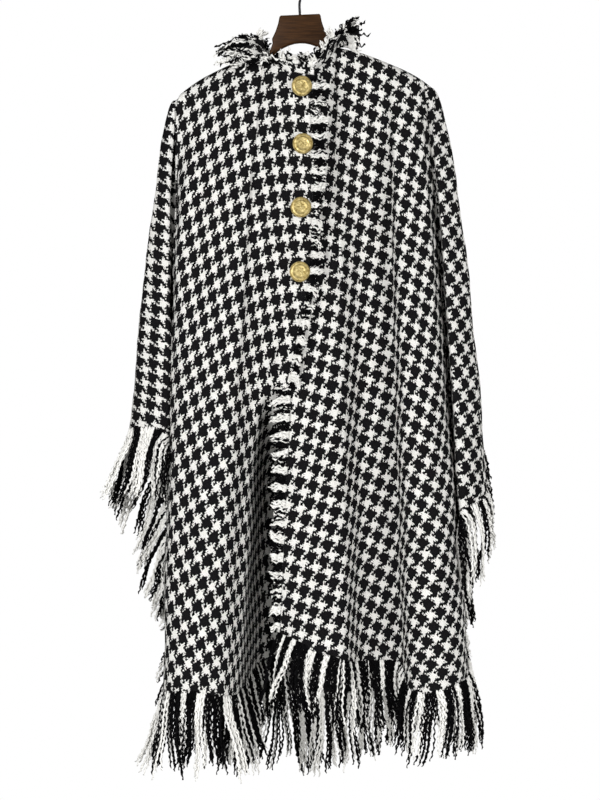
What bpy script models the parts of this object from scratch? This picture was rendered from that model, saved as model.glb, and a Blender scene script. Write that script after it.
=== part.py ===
"""Fringed poncho buttoned on a wooden hanger, as rigid cloth, in metres with +Z up.

The origin is the inner top of the hanger's hook, where a rail carries it. +X is the viewer's right and the
front faces -Y. Left and right in the names are the wearer's: the right front is on the viewer's left.

The cloth hangs from the shoulder line in fold lines. Each row of the fold tables is one such line, from its
top on the shoulder or neck down to its end on the hem, and the cloth runs smoothly from line to line, round
the body from the right front's edge, over the back, to the left front's edge.
"""

import math
from collections import namedtuple

import bmesh
import bpy
import numpy as np
from mathutils import Vector

# Cloth and sewing
CLOTH_THICK = 0.0025
SEAM_HALF = 0.0004
PIECE_GAP = 0.0004
HEM_GAP = 0.0008
SIDE_GAP = 0.0015
STEPS_PER_FOLD = 3

# Wooden hanger
HANGER_HALF = 0.181
HANGER_THICK = 0.012
HANGER_EDGE = 0.005
HANGER_TOP = -0.063
HUMP_HALF = 0.0315
HUMP_FOOT_HALF = 0.044
ARCH_TOP = -0.106
HANGER_TILT = 0.044
SHOULDER_X = (-0.190, -0.176, -0.146, -0.115, -0.057, 0.057, 0.100, 0.127, 0.162, 0.182, 0.202)
SHOULDER_Z = (-0.190, -0.176, -0.158, -0.141, -0.1205, -0.114, -0.124, -0.135, -0.150, -0.161, -0.176)
WRAP_RADIUS = 0.0125
WOOD_CLEAR = 0.0025
ON_HANGER = None

# Wire hook
WIRE_RADIUS = 0.002
HOOK_RADIUS = 0.0195
STEM_BEND = -0.046

# Front opening, as shares of the way from neck to hem
SWING_FROM = 0.30
SWING_BY = 0.47
RECEDE_FROM = 0.40
RECEDE_BY = 0.64
PLACKET_FRINGE_START = 0.006
PLACKET_DROOP_FROM = 0.31
PLACKET_FRINGE_END = 0.45
EDGE_FRINGE_START = 0.50
EDGE_FRINGE_END = 0.985

# Buttons
BUTTON_RADIUS = 0.0155
BUTTON_THICK = 0.0042
BUTTON_RIM = 0.0018
BUTTON_STEPS = 16
BUTTON_PLACES = ((0.003, -0.180), (0.0045, -0.267), (0.0015, -0.363), (0.0, -0.460))

# Fringe
STRIP_WIDE = 0.006
EDGE_STRIP = 0.004
FRINGE_LONG = 0.118
FRINGE_SHORT = 0.021
STRAND_TAPER = 0.62
ARM_CLEAR = 0.08

# Frayed stand round the neck
NECK_HALF = 0.057
NECK_CENTRE_Y = -0.015
NECK_STAND = 0.012
STAND_SHORT = 0.016
STAND_LONG_RIGHT = 0.064
STAND_LONG_LEFT = 0.050
LEAN_RIGHT = 3.2
LEAN_LEFT = 1.0

Fold = namedtuple("Fold", "name x_top y_top z_top x_end y_end z_end spread hang wrap swing recede")

# Round the body from the right front's edge. spread under 1 flares early, hang over 1 opens late, wrap is 1
# where the line starts on the wood, and swing and recede turn the open front's edge aside and back.
FRONT_RIGHT = (
    Fold("right_edge", 0.021, -0.051, -0.163, -0.022, 0.064, -1.056, 1.0, 1.0, 0, -0.047, 0.156),
    Fold("button_line", 0.000, -0.049, -0.160, -0.060, 0.056, -1.062, 1.0, 1.0, 0, -0.030, 0.142),
    Fold("right_inner", -0.033, -0.037, -0.148, -0.094, -0.070, -1.094, 0.9, 1.0, 0, 0, 0),
    Fold("right_neck_turn", -0.052, -0.015, -0.128, -0.111, -0.102, -1.092, 0.9, 1.0, 0.5, 0, 0),
    Fold("right_neck", -0.057, 0.000, ON_HANGER, -0.126, -0.112, -1.088, 0.9, 1.0, 1, 0, 0),
    Fold("right_crest", -0.085, 0.000, ON_HANGER, -0.150, -0.115, -1.084, 0.9, 1.0, 1, 0, 0),
    Fold("right_outer", -0.145, 0.000, ON_HANGER, -0.187, -0.098, -1.086, 0.75, 1.0, 1, 0, 0),
    Fold("right_side", -0.180, 0.000, ON_HANGER, -0.204, -0.044, -1.088, 0.8, 1.0, 1, 0, 0),
    Fold("right_arm_valley", -0.186, 0.000, ON_HANGER, -0.187, 0.004, -0.975, 0.5, 1.0, 1, 0, 0),
    Fold("right_arm_turn", -0.188, 0.000, ON_HANGER, -0.201, 0.003, -0.865, 0.5, 1.0, 1, 0, 0),
    Fold("right_arm_crest", -0.189, 0.000, ON_HANGER, -0.214, -0.050, -0.703, 0.6, 0.9, 1, 0, 0),
)
BACK = (
    Fold("right_arm", -0.190, 0.000, ON_HANGER, -0.257, 0.000, -0.698, 0.6, 1.0, 0, 0, 0),
    Fold("back_right_arm", -0.189, 0.000, ON_HANGER, -0.238, 0.055, -0.720, 0.6, 0.9, 1, 0, 0),
    Fold("back_right_turn", -0.188, 0.000, ON_HANGER, -0.199, 0.036, -0.870, 0.4, 1.0, 1, 0, 0),
    Fold("back_right_valley", -0.186, 0.000, ON_HANGER, -0.190, 0.037, -0.975, 0.3, 1.0, 1, 0, 0),
    Fold("back_right_side", -0.178, 0.000, ON_HANGER, -0.200, 0.082, -1.095, 0.4, 1.0, 1, 0, 0),
    Fold("back_right_crest", -0.135, 0.000, ON_HANGER, -0.160, 0.132, -1.112, 0.8, 1.0, 1, 0, 0),
    Fold("back_right_dip", -0.090, 0.000, ON_HANGER, -0.100, 0.080, -1.112, 0.9, 1.2, 1, 0, 0),
    Fold("nape_right_side", -0.057, 0.000, ON_HANGER, -0.058, 0.132, -1.118, 0.9, 1.0, 1, 0, 0),
    Fold("nape_right_turn", -0.052, 0.013, -0.127, -0.042, 0.134, -1.118, 0.9, 1.0, 0.5, 0, 0),
    Fold("nape_right", -0.026, 0.021, -0.148, -0.012, 0.120, -1.118, 1.0, 1.0, 0, 0, 0),
    Fold("nape_left", 0.026, 0.021, -0.148, 0.036, 0.078, -1.118, 1.0, 1.2, 0, 0, 0),
    Fold("nape_left_turn", 0.052, 0.013, -0.122, 0.066, 0.098, -1.117, 0.9, 1.0, 0.5, 0, 0),
    Fold("nape_left_side", 0.057, 0.000, ON_HANGER, 0.086, 0.118, -1.116, 0.9, 1.0, 1, 0, 0),
    Fold("back_mid_crest", 0.085, 0.000, ON_HANGER, 0.118, 0.138, -1.112, 0.9, 1.0, 1, 0, 0),
    Fold("back_left_dip", 0.120, 0.000, ON_HANGER, 0.162, 0.078, -1.108, 0.9, 1.2, 1, 0, 0),
    Fold("back_left_crest", 0.155, 0.000, ON_HANGER, 0.212, 0.126, -1.100, 0.9, 1.0, 1, 0, 0),
    Fold("back_left_side", 0.182, 0.000, ON_HANGER, 0.254, 0.080, -1.080, 0.85, 1.0, 1, 0, 0),
    Fold("back_left_valley", 0.187, 0.000, ON_HANGER, 0.246, 0.036, -0.965, 0.8, 1.0, 1, 0, 0),
    Fold("back_left_turn", 0.190, 0.000, ON_HANGER, 0.254, 0.035, -0.860, 0.8, 1.0, 1, 0, 0),
    Fold("back_left_arm", 0.197, 0.000, ON_HANGER, 0.283, 0.056, -0.716, 0.85, 0.9, 1, 0, 0),
    Fold("left_arm", 0.202, 0.000, ON_HANGER, 0.285, 0.000, -0.800, 0.9, 1.0, 0, 0, 0),
)
FRONT_LEFT = (
    Fold("left_arm_crest", 0.196, 0.000, ON_HANGER, 0.256, -0.056, -0.820, 0.8, 0.9, 1, 0, 0),
    Fold("left_arm_turn", 0.190, 0.000, ON_HANGER, 0.248, 0.004, -0.880, 0.75, 1.0, 1, 0, 0),
    Fold("left_arm_valley", 0.187, 0.000, ON_HANGER, 0.244, 0.006, -0.960, 0.75, 1.0, 1, 0, 0),
    Fold("left_side", 0.184, 0.000, ON_HANGER, 0.254, -0.046, -1.064, 0.9, 1.0, 1, 0, 0),
    Fold("left_outer", 0.178, 0.000, ON_HANGER, 0.233, -0.098, -1.074, 1.0, 1.0, 1, 0, 0),
    Fold("left_second_crest", 0.160, 0.000, ON_HANGER, 0.199, -0.114, -1.083, 1.0, 1.0, 1, 0, 0),
    Fold("left_second_inner", 0.140, 0.000, ON_HANGER, 0.168, -0.098, -1.086, 1.0, 1.0, 1, 0, 0),
    Fold("left_valley", 0.128, 0.000, ON_HANGER, 0.150, -0.026, -1.050, 1.0, 1.3, 1, 0, 0),
    Fold("left_flank", 0.092, 0.000, ON_HANGER, 0.094, -0.048, -1.048, 1.0, 1.6, 1, 0, 0),
    Fold("left_neck", 0.057, 0.000, ON_HANGER, 0.066, -0.106, -1.040, 1.0, 1.2, 1, 0, 0),
    Fold("left_neck_turn", 0.052, -0.015, -0.122, 0.046, -0.112, -1.032, 1.0, 1.3, 0.5, 0, 0),
    Fold("left_placket", 0.033, -0.034, -0.145, 0.022, -0.108, -1.024, 1.0, 1.6, 0, 0, 0),
    Fold("left_inner", 0.010, -0.042, -0.158, -0.002, -0.102, -1.012, 1.5, 1.6, 0, 0, 0),
    Fold("left_edge", -0.004, -0.044, -0.160, -0.024, -0.085, -1.000, 3.0, 1.6, 0, 0, 0),
)
ROUND = FRONT_RIGHT + BACK + FRONT_LEFT
AT = {fold.name: number for number, fold in enumerate(ROUND)}
PANELS = {
    "front_right": (0, AT["right_arm"]),
    "back": (AT["right_arm"], AT["left_arm"]),
    "front_left": (AT["left_arm"], AT["left_edge"]),
}

# Shares of the way down at which the cloth is cut into rows, closer together over the wood
DOWN = (0, 0.0015, 0.005, 0.014, 0.04, 0.09, 0.17, 0.26, 0.35, 0.44, 0.53, 0.62, 0.72, 0.82, 0.91, 1)


def shoulder_z(x):
    """Height of the cloth's middle on the wooden shoulder."""
    return float(np.interp(x, SHOULDER_X, SHOULDER_Z))


def ease(value, start, end):
    """0 before start, 1 after end, smooth between."""
    u = np.clip((value - start) / (end - start), 0, 1)
    return u * u * (3 - 2 * u)


def through(points, s, taut=False):
    """Smooth curve through points, read at fractional point numbers s. A taut one never overshoots them."""
    points = np.asarray(points, float)
    leg = np.diff(points, axis=0)
    gap = np.maximum(np.linalg.norm(leg, axis=1), 0.0004)[:, None] ** 0.5
    slope = leg / gap
    before, after = slope[:-1], slope[1:]
    inner = (before * gap[1:] + after * gap[:-1]) / (gap[:-1] + gap[1:])
    if taut:
        inner = np.where(before * after > 0, 2 * before * after / (before + after + 1e-12), 0)
    tangent = np.vstack([slope[:1], inner, slope[-1:]])
    i = np.clip(np.floor(s).astype(int), 0, len(leg) - 1)
    u = (s - i)[..., None]
    rise, hold = u * u * (3 - 2 * u), u * (1 - u)
    bend = tangent[i] * (1 - u) - tangent[i + 1] * u
    return points[i] * (1 - rise) + points[i + 1] * rise + bend * hold * gap[i]


def column(name):
    return np.array([getattr(fold, name) for fold in ROUND], float)


def top_of(fold):
    height = shoulder_z(fold.x_top) if fold.z_top is ON_HANGER else fold.z_top
    return fold.x_top, fold.y_top, height


TOPS = np.array([top_of(fold) for fold in ROUND])
ENDS = np.array([(fold.x_end, fold.y_end, fold.z_end) for fold in ROUND])
ROWS = np.arange(len(ROUND))


def cloth(s, t):
    """Middle of the cloth on fold line s, at the share t of the way from the shoulder to the hem."""
    s, t = np.broadcast_arrays(np.asarray(s, float), np.asarray(t, float))
    top, end = through(TOPS, s, taut=True), through(ENDS, s)
    spread, hang, wrap, swing, recede = (
        np.interp(s, ROWS, column(name)) for name in ("spread", "hang", "wrap", "swing", "recede")
    )
    facing = np.where((s > AT["right_arm"]) & (s < AT["left_arm"]), 1.0, -1.0)
    drop = np.clip((top[..., 2] - end[..., 2]) * t, 0, WRAP_RADIUS)
    over_wood = facing * wrap * np.sqrt(WRAP_RADIUS**2 - (WRAP_RADIUS - drop) ** 2)
    end_y = end[..., 1] - facing * wrap * WRAP_RADIUS - recede
    x = top[..., 0] + (end[..., 0] - swing - top[..., 0]) * t**spread + swing * ease(t, SWING_FROM, SWING_BY)
    y = top[..., 1] + (end_y - top[..., 1]) * t**hang + recede * ease(t, RECEDE_FROM, RECEDE_BY)
    z = top[..., 2] + (end[..., 2] - top[..., 2]) * t
    return np.stack([x, y + over_wood + facing * SEAM_HALF, z], axis=-1)


def unit(vectors):
    return vectors / np.linalg.norm(vectors, axis=-1, keepdims=True)


def outward(s, t):
    """Direction out of the cloth's outer face."""
    s, t = np.broadcast_arrays(np.asarray(s, float), np.asarray(t, float))
    along = cloth(s + 0.02, t) - cloth(s - 0.02, t)
    down = cloth(s, np.minimum(t + 0.0006, 1)) - cloth(s, np.maximum(t - 0.0006, 0))
    return unit(np.cross(along, down))


def fall(s, t):
    """Direction of the cloth down its fold line."""
    return unit(cloth(s, t) - cloth(s, np.asarray(t) - 0.02))


# A clear scene, and the ways meshes and finishes are made

for old in list(bpy.data.objects):
    bpy.data.objects.remove(old)

poncho = bpy.data.collections.new("fringed_poncho")
bpy.context.scene.collection.children.link(poncho)


def material(name, colour, roughness, metallic=0.0):
    made = bpy.data.materials.new(name)
    made.use_nodes = True
    shader = made.node_tree.nodes["Principled BSDF"]
    shader.inputs["Base Color"].default_value = (*colour, 1)
    shader.inputs["Roughness"].default_value = roughness
    shader.inputs["Metallic"].default_value = metallic
    return made


WOOL = material("checked_wool", (0.30, 0.29, 0.27), 0.95)
YARN = material("fringe_yarn", (0.62, 0.59, 0.53), 0.95)
GOLD = material("gold_metal", (0.72, 0.54, 0.22), 0.35, 1.0)
WOOD = material("dark_wood", (0.07, 0.032, 0.016), 0.45)
STEEL = material("black_wire", (0.02, 0.02, 0.02), 0.35, 1.0)


def add_mesh(name, bm, finish):
    bmesh.ops.recalc_face_normals(bm, faces=bm.faces[:])
    mesh = bpy.data.meshes.new(name)
    bm.to_mesh(mesh)
    bm.free()
    mesh.materials.append(finish)
    mesh.shade_smooth()
    mesh.set_sharp_from_angle(angle=math.radians(50))
    made = bpy.data.objects.new(name, mesh)
    poncho.objects.link(made)
    return made


def slab(points, normals, thick):
    """A sheet of rows by columns of points, thickened both ways, and its rim faces along the last column."""
    rows, columns = points.shape[:2]
    bm = bmesh.new()
    bmesh.ops.create_grid(bm, x_segments=rows - 1, y_segments=columns - 1, size=0.5)
    raised = bmesh.ops.extrude_face_region(bm, geom=bm.faces[:])["geom"]
    for vert in raised:
        if isinstance(vert, bmesh.types.BMVert):
            vert.co.z = 1
    rim = [face for face in bm.faces if face.calc_center_median().y > 0.499]
    rim.sort(key=lambda face: face.calc_center_median().x)
    for vert in bm.verts:
        i = round((vert.co.x + 0.5) * (rows - 1))
        j = round((vert.co.y + 0.5) * (columns - 1))
        side = vert.co.z - 0.5
        vert.co = Vector(points[i, j] + normals[i, j] * thick * side)
    return bm, rim


def strand(bm, root, reach, taper, bends):
    """Draws one face of a backing out into a tapered strand, in as many lengths as there are bends."""
    for bend in bends:
        root = bmesh.ops.extrude_discrete_faces(bm, faces=[root])["faces"][0]
        middle = root.calc_center_median()
        for vert in root.verts:
            vert.co = middle + (vert.co - middle) * taper ** (1 / len(bends)) + Vector(reach * bend)


def evenly(path, count, steep=1.0):
    """Shares of a path, from 0 to 1, at equal steps of its length, in which height counts by steep."""
    fine = np.linspace(0, 1, 400)
    steps = np.linalg.norm(np.diff(path(fine), axis=0) * np.array((1, 1, steep)), axis=1)
    walked = np.concatenate([[0], np.cumsum(steps)])
    return np.interp(np.linspace(0, walked[-1], count), walked, fine)


# Cloth panels


def panel(name):
    first, last = PANELS[name]
    s = np.linspace(first, last, (last - first) * STEPS_PER_FOLD + 1)
    inside = np.clip(s, first + 1e-6, last - 1e-6)[:, None]
    down = np.array(DOWN)[None, :]
    bm, _ = slab(cloth(inside, down), outward(inside, down), CLOTH_THICK)
    add_mesh(name, bm, WOOL)


for name in PANELS:
    panel(name)


# Fringe: a narrow strip just past the cloth's edge, every second length of it drawn out into a strand


def as_cut(name, field, s, t):
    """A field of the cloth on a panel as it is cut, so straight between the panel's own steps."""
    first, last = PANELS[name]
    s = np.asarray(s, float)
    low = np.clip(np.floor(s * STEPS_PER_FOLD + 1e-9) / STEPS_PER_FOLD, first, last - 1 / STEPS_PER_FOLD)
    start = field(np.maximum(low, first + 1e-6), t)
    end = field(np.minimum(low + 1 / STEPS_PER_FOLD, last - 1e-6), t)
    return start + (end - start) * (s - low)[..., None] * STEPS_PER_FOLD


def fringe(name, base, grow, normal, wide, reach, count, corners, bends=(0.5, 0.5), steep=1.0):
    """A strip with strands. base, grow, normal and reach work on shares q along it, reach is a strand's whole
    length, and corners are the shares where the cloth's own edge turns, so that the strip turns with it."""
    marks = evenly(base, 2 * count + 2, steep)
    q = np.unique(np.round(np.concatenate([marks, corners[(corners > 0) & (corners < 1)]]), 6))
    points = np.stack([base(q), base(q) + grow(q) * wide], axis=1)
    normals = np.stack([normal(q), normal(q)], axis=1)
    bm, rim = slab(points, normals, CLOTH_THICK)
    middles = (q[:-1] + q[1:]) / 2
    cells = np.searchsorted(marks, middles) - 1
    for number in range(1, 2 * count + 1, 2):
        widest = max(np.flatnonzero(cells == number), key=lambda face: q[face + 1] - q[face])
        strand(bm, rim[widest], reach(middles[widest]), STRAND_TAPER, bends)
    add_mesh(name, bm, YARN)


def hem_fringe(name, cloth_name, first, last, count, flare=0.0, gap=HEM_GAP):
    """Long fringe along a panel's hem between two fold lines. flare leans it sideways, + along X."""

    def row(q):
        return first + (last - first) * np.asarray(q, float)

    def normal(q):
        return as_cut(cloth_name, outward, row(q), 1.0)

    def grow(q):
        along = as_cut(cloth_name, cloth, row(q) + 0.03, 1.0) - as_cut(cloth_name, cloth, row(q) - 0.03, 1.0)
        return unit(np.cross(normal(q), along))

    def base(q):
        return as_cut(cloth_name, cloth, row(q), 1.0) + grow(q) * gap

    def reach(q):
        sway = 0.02 * math.sin(9.0 * q * count) + flare
        ragged = 0.95 + 0.05 * math.sin(7.0 * q * count)
        return unit(fall(row(q), 1.0) * 0.5 + np.array((sway, 0, -0.5))) * FRINGE_LONG * ragged

    corners = (np.arange(len(ROUND) * STEPS_PER_FOLD) / STEPS_PER_FOLD - first) / (last - first)
    fringe(name, base, grow, normal, STRIP_WIDE, reach, count, corners, steep=0.15)


hem_fringe("fringe_hem_right", "front_right", 0.1, AT["right_side"] - 0.1, 22)
hem_fringe("fringe_hem_back", "back", AT["back_right_side"] + 0.1, AT["back_left_side"] - 0.1, 32)
hem_fringe("fringe_hem_left", "front_left", AT["left_side"] + 0.1, AT["left_edge"] - 0.1, 28)
SIDES = (
    ("fringe_side_right_front", "front_right", AT["right_side"] + 0.1, AT["right_arm"] - ARM_CLEAR, -0.25),
    ("fringe_side_right_back", "back", AT["right_arm"] + ARM_CLEAR, AT["back_right_side"] - 0.1, -0.08),
    ("fringe_side_left_back", "back", AT["back_left_side"] + 0.1, AT["left_arm"] - ARM_CLEAR, 0.08),
    ("fringe_side_left_front", "front_left", AT["left_arm"] + ARM_CLEAR, AT["left_side"] - 0.1, 0.08),
)
for name, cloth_name, first, last, flare in SIDES:
    hem_fringe(name, cloth_name, first, last, 11, flare, SIDE_GAP)


def edge_fringe(name, s_edge, s_in, start, end, count, droop_from, droop_by):
    """Short fringe along a front's free edge, pointing across the opening and drooping where it turns."""

    def share(q):
        return start + (end - start) * q

    def grow(q):
        return unit(cloth(s_edge, share(q)) - cloth(s_in, share(q)))

    def base(q):
        steps = cloth(s_edge, np.array(DOWN))
        edge = np.stack([np.interp(share(q), DOWN, steps[:, axis]) for axis in range(3)], axis=-1)
        return edge + grow(q) * PIECE_GAP

    def normal(q):
        return outward(s_edge, share(q))

    def reach(q):
        droop = 0.25 + 0.6 * ease(share(q), droop_from, droop_by)
        lean = grow(q) * (1 - droop) + np.array((0, -0.2, -droop))
        return unit(lean) * FRINGE_SHORT

    corners = (np.array(DOWN) - start) / (end - start)
    fringe(name, base, grow, normal, EDGE_STRIP, reach, count, corners, bends=(1.0,))


edge_fringe(
    "fringe_placket_right",
    0,
    0.05,
    PLACKET_FRINGE_START,
    PLACKET_FRINGE_END,
    22,
    PLACKET_DROOP_FROM,
    PLACKET_FRINGE_END,
)
LEFT_EDGE = AT["left_edge"]
NO_DROOP = 2.0
edge_fringe(
    "fringe_edge_left",
    LEFT_EDGE,
    LEFT_EDGE - 0.05,
    EDGE_FRINGE_START,
    EDGE_FRINGE_END,
    18,
    NO_DROOP,
    2 * NO_DROOP,
)


# Frayed stand round the neck, from the right front's edge behind the neck to under the overlap

NECK_SPANS = (
    ("front_right", 0, AT["right_neck"]),
    ("back", AT["nape_right_side"], AT["nape_left_side"]),
    ("front_left", AT["left_neck"], AT["left_edge"]),
)


def neck_path(q):
    """Top edge of the cloth at the share q of the way round the neck."""
    q = np.asarray(q, float) * len(NECK_SPANS)
    legs = [
        as_cut(name, cloth, first + (last - first) * np.clip(q - k, 0, 1), 0.0)
        for k, (name, first, last) in enumerate(NECK_SPANS)
    ]
    leg = np.clip(np.floor(q), 0, len(NECK_SPANS) - 1)[..., None]
    return np.where(leg == 0, legs[0], np.where(leg == 1, legs[1], legs[2]))


def neck_side(q):
    """1 at the sides of the neck, 0 at front and back."""
    return np.clip(np.abs(neck_path(q)[..., 0]) / NECK_HALF, 0, 1) ** 2


def neck_out(q):
    """Level direction away from the neck's middle."""
    away = neck_path(q) - np.array((0, NECK_CENTRE_Y, 0))
    return unit(away * np.array((1, 1, 0)))


def neck_base(q):
    """Foot of the stand, clear of the cloth by more where the edge runs uphill."""
    along = neck_path(np.minimum(np.asarray(q) + 0.004, 1)) - neck_path(np.maximum(np.asarray(q) - 0.004, 0))
    uphill = np.abs(unit(along)[..., 2])
    raised = PIECE_GAP + neck_side(q) * CLOTH_THICK / 2 + uphill * CLOTH_THICK
    return neck_path(q) + raised[..., None] * np.array((0, 0, 1))


def neck_grow(q):
    return unit(np.array((0, 0, 1)) + neck_out(q) * 0.15)


def neck_reach(q):
    side = neck_side(q)
    on_right = neck_path(q)[..., 0] < 0
    lean = np.where(on_right, LEAN_RIGHT, LEAN_LEFT) * side + 0.1
    longest = np.where(on_right, STAND_LONG_RIGHT, STAND_LONG_LEFT)
    length = STAND_SHORT + (longest - STAND_SHORT) * side
    return unit(np.array((0, 0, 1)) + neck_out(q) * lean) * length


NECK_CORNERS = np.concatenate(
    [
        (k + np.linspace(0, 1, (last - first) * STEPS_PER_FOLD + 1)) / len(NECK_SPANS)
        for k, (_, first, last) in enumerate(NECK_SPANS)
    ]
)
fringe("fringe_neck", neck_base, neck_grow, neck_out, NECK_STAND, neck_reach, 28, NECK_CORNERS, bends=(1.0,))


# Buttons down the right front, domed discs with a raised rim


def on_right_front(x, z):
    """Fold line and share of the way down where the right front passes x and z."""
    lines = np.linspace(0, 2, 201)
    tops, ends = through(TOPS, lines, taut=True)[:, 2], through(ENDS, lines)[:, 2]
    shares = (z - tops) / (ends - tops)
    places = cloth(lines, shares)[:, 0]
    best = int(np.argmin(np.abs(places - x)))
    return lines[best], shares[best]


def button(name, x, z):
    s, t = on_right_front(x, z)
    seat, out = cloth(s, t), outward(s, t)
    lines_near = np.clip(s + np.linspace(-0.5, 0.5, 21), 0, 2)[:, None]
    shares_near = t + np.linspace(-0.015, 0.015, 7)[None, :]
    around = cloth(lines_near, shares_near)
    near = np.linalg.norm(around - seat, axis=-1) < BUTTON_RADIUS * 1.05
    proud = max(0.0, float(((around - seat) @ out)[near].max()))
    profile = (
        (0.0, BUTTON_THICK * 0.86),
        (BUTTON_RADIUS * 0.55, BUTTON_THICK * 0.78),
        (BUTTON_RADIUS - BUTTON_RIM * 1.6, BUTTON_THICK * 0.66),
        (BUTTON_RADIUS - BUTTON_RIM, BUTTON_THICK),
        (BUTTON_RADIUS, BUTTON_THICK * 0.7),
        (BUTTON_RADIUS, BUTTON_THICK * 0.25),
        (BUTTON_RADIUS - BUTTON_RIM, 0.0),
        (0.0, 0.0),
    )
    bm = bmesh.new()
    verts = [bm.verts.new((radius, 0, height)) for radius, height in profile]
    for first, second in zip(verts, verts[1:]):
        bm.edges.new((first, second))
    bmesh.ops.spin(
        bm,
        geom=bm.verts[:] + bm.edges[:],
        cent=(0, 0, 0),
        axis=(0, 0, 1),
        angle=2 * math.pi,
        steps=BUTTON_STEPS,
        use_merge=True,
    )
    bmesh.ops.remove_doubles(bm, verts=bm.verts[:], dist=1e-5)
    made = add_mesh(name, bm, GOLD)
    made.rotation_euler = Vector(out).to_track_quat("Z", "Y").to_euler()
    made.location = Vector(seat + out * (CLOTH_THICK / 2 + proud + PIECE_GAP))


for number, (x, z) in enumerate(BUTTON_PLACES, start=1):
    button(f"button_{number}", x, z)


# Wooden hanger: one board in outline, with a hump for the hook and an arched underside


def hanger_side(side):
    """One side of the board, 1 or -1, from the top's middle round to the arch's middle. It hangs a little tilted,
    and its shoulder lies just under the cloth's."""
    end_x = HANGER_HALF - 0.004
    foot = HUMP_FOOT_HALF + 0.004

    def wood(x, below):
        return side * x, shoulder_z(side * x) - below

    def tilted(x, z):
        return side * x, z + side * x * HANGER_TILT

    return [
        tilted(HUMP_HALF - 0.002, HANGER_TOP),
        tilted(HUMP_HALF, HANGER_TOP - 0.002),
        tilted(HUMP_HALF + 0.006, HANGER_TOP - 0.024),
        tilted(HUMP_FOOT_HALF - 0.002, HANGER_TOP - 0.042),
        wood(foot, 2 * WOOD_CLEAR),
        wood(0.060, 1.5 * WOOD_CLEAR),
        wood(0.152, WOOD_CLEAR),
        wood(end_x, 1.4 * WOOD_CLEAR),
        wood(HANGER_HALF, 0.008),
        wood(HANGER_HALF - 0.002, 0.018),
        wood(HANGER_HALF - 0.012, 0.022),
        wood(0.100, 0.028),
        tilted(0.056, -0.136),
        tilted(0.034, -0.1175),
        tilted(0.016, -0.1085),
        (0.0, ARCH_TOP),
    ]


def hanger_outline():
    right, left = hanger_side(1), hanger_side(-1)
    return right + left[-2::-1]


board = bpy.data.curves.new("hanger_body", "CURVE")
board.dimensions = "2D"
board.fill_mode = "BOTH"
board.extrude = HANGER_THICK / 2
outline = board.splines.new("POLY")
corners = hanger_outline()
outline.points.add(len(corners) - 1)
for point, (x, z) in zip(outline.points, corners):
    point.co = (x, z, 0, 1)
outline.use_cyclic_u = True
board.materials.append(WOOD)
hanger = bpy.data.objects.new("hanger_body", board)
hanger.rotation_euler = (math.pi / 2, 0, 0)
poncho.objects.link(hanger)
joined = hanger.modifiers.new("join_caps", "WELD")
joined.merge_threshold = 0.00005
rounded = hanger.modifiers.new("rounded_edges", "BEVEL")
rounded.width = HANGER_EDGE
rounded.segments = 2
rounded.limit_method = "ANGLE"
rounded.angle_limit = math.radians(70)


# Wire hook: a stem from the hump, bent over into an open ring whose inner top is the origin


def hook_path():
    centre = WIRE_RADIUS - HOOK_RADIUS
    turn = [math.radians(angle) for angle in range(-38, 208, 18)]
    ring = [(HOOK_RADIUS * math.cos(a), 0, centre + HOOK_RADIUS * math.sin(a)) for a in turn]
    stem = [(0, 0, HANGER_TOP + PIECE_GAP), (0, 0, STEM_BEND), (0.0045, 0, STEM_BEND + 0.009)]
    points = stem + ring
    return through(points, np.linspace(0, len(points) - 1, 22))


wire = bpy.data.curves.new("hanger_hook", "CURVE")
wire.dimensions = "3D"
wire.bevel_depth = WIRE_RADIUS
wire.bevel_resolution = 2
wire.use_fill_caps = True
bend = wire.splines.new("POLY")
places = hook_path()
bend.points.add(len(places) - 1)
for point, place in zip(bend.points, places):
    point.co = (*place, 1)
wire.materials.append(STEEL)
hook = bpy.data.objects.new("hanger_hook", wire)
poncho.objects.link(hook)
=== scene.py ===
"""Fringed poncho on its hanger: woven cloth, yarn fringes, buttons, stitching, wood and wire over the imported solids.

Metres, +Z up, front to -Y. Left and right in the names are the wearer's, so the right front is on the viewer's left.
"""

import math
from collections import namedtuple

import bmesh
import bpy
import numpy as np
from mathutils import Matrix, Vector


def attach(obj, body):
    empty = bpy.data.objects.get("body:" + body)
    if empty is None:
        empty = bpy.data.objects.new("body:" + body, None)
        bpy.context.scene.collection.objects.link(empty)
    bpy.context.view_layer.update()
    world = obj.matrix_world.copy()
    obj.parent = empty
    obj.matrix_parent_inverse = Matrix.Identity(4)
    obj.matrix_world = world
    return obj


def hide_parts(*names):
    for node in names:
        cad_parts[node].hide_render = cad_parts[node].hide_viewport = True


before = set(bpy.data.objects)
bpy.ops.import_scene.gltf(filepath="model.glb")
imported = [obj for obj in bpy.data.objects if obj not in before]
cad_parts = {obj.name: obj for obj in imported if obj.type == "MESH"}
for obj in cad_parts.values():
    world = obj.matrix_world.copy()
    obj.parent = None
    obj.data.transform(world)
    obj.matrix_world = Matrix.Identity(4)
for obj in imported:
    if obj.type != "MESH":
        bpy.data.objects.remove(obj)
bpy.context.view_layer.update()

# Cloth and hanger, from the part's source. Some folds, the shoulder's ends and the crossing of the fronts are moved a
# little from there, to fit the photo more closely
CLOTH_THICK = 0.0022
SHOULDER_X = (-0.190, -0.176, -0.146, -0.115, -0.057, 0.057, 0.100, 0.127, 0.162, 0.182, 0.202)
SHOULDER_Z = (-0.196, -0.181, -0.161, -0.142, -0.1205, -0.114, -0.124, -0.135, -0.150, -0.161, -0.176)
WRAP_RADIUS = 0.0125
WOOD_CLEAR = 0.0025
SWING_FROM, SWING_BY = 0.28, 0.62
RECEDE_FROM, RECEDE_BY = 0.49, 0.70


def shoulder_z(x):
    """Height of the cloth's middle on the wooden shoulder."""
    return float(np.interp(x, SHOULDER_X, SHOULDER_Z))


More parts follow.
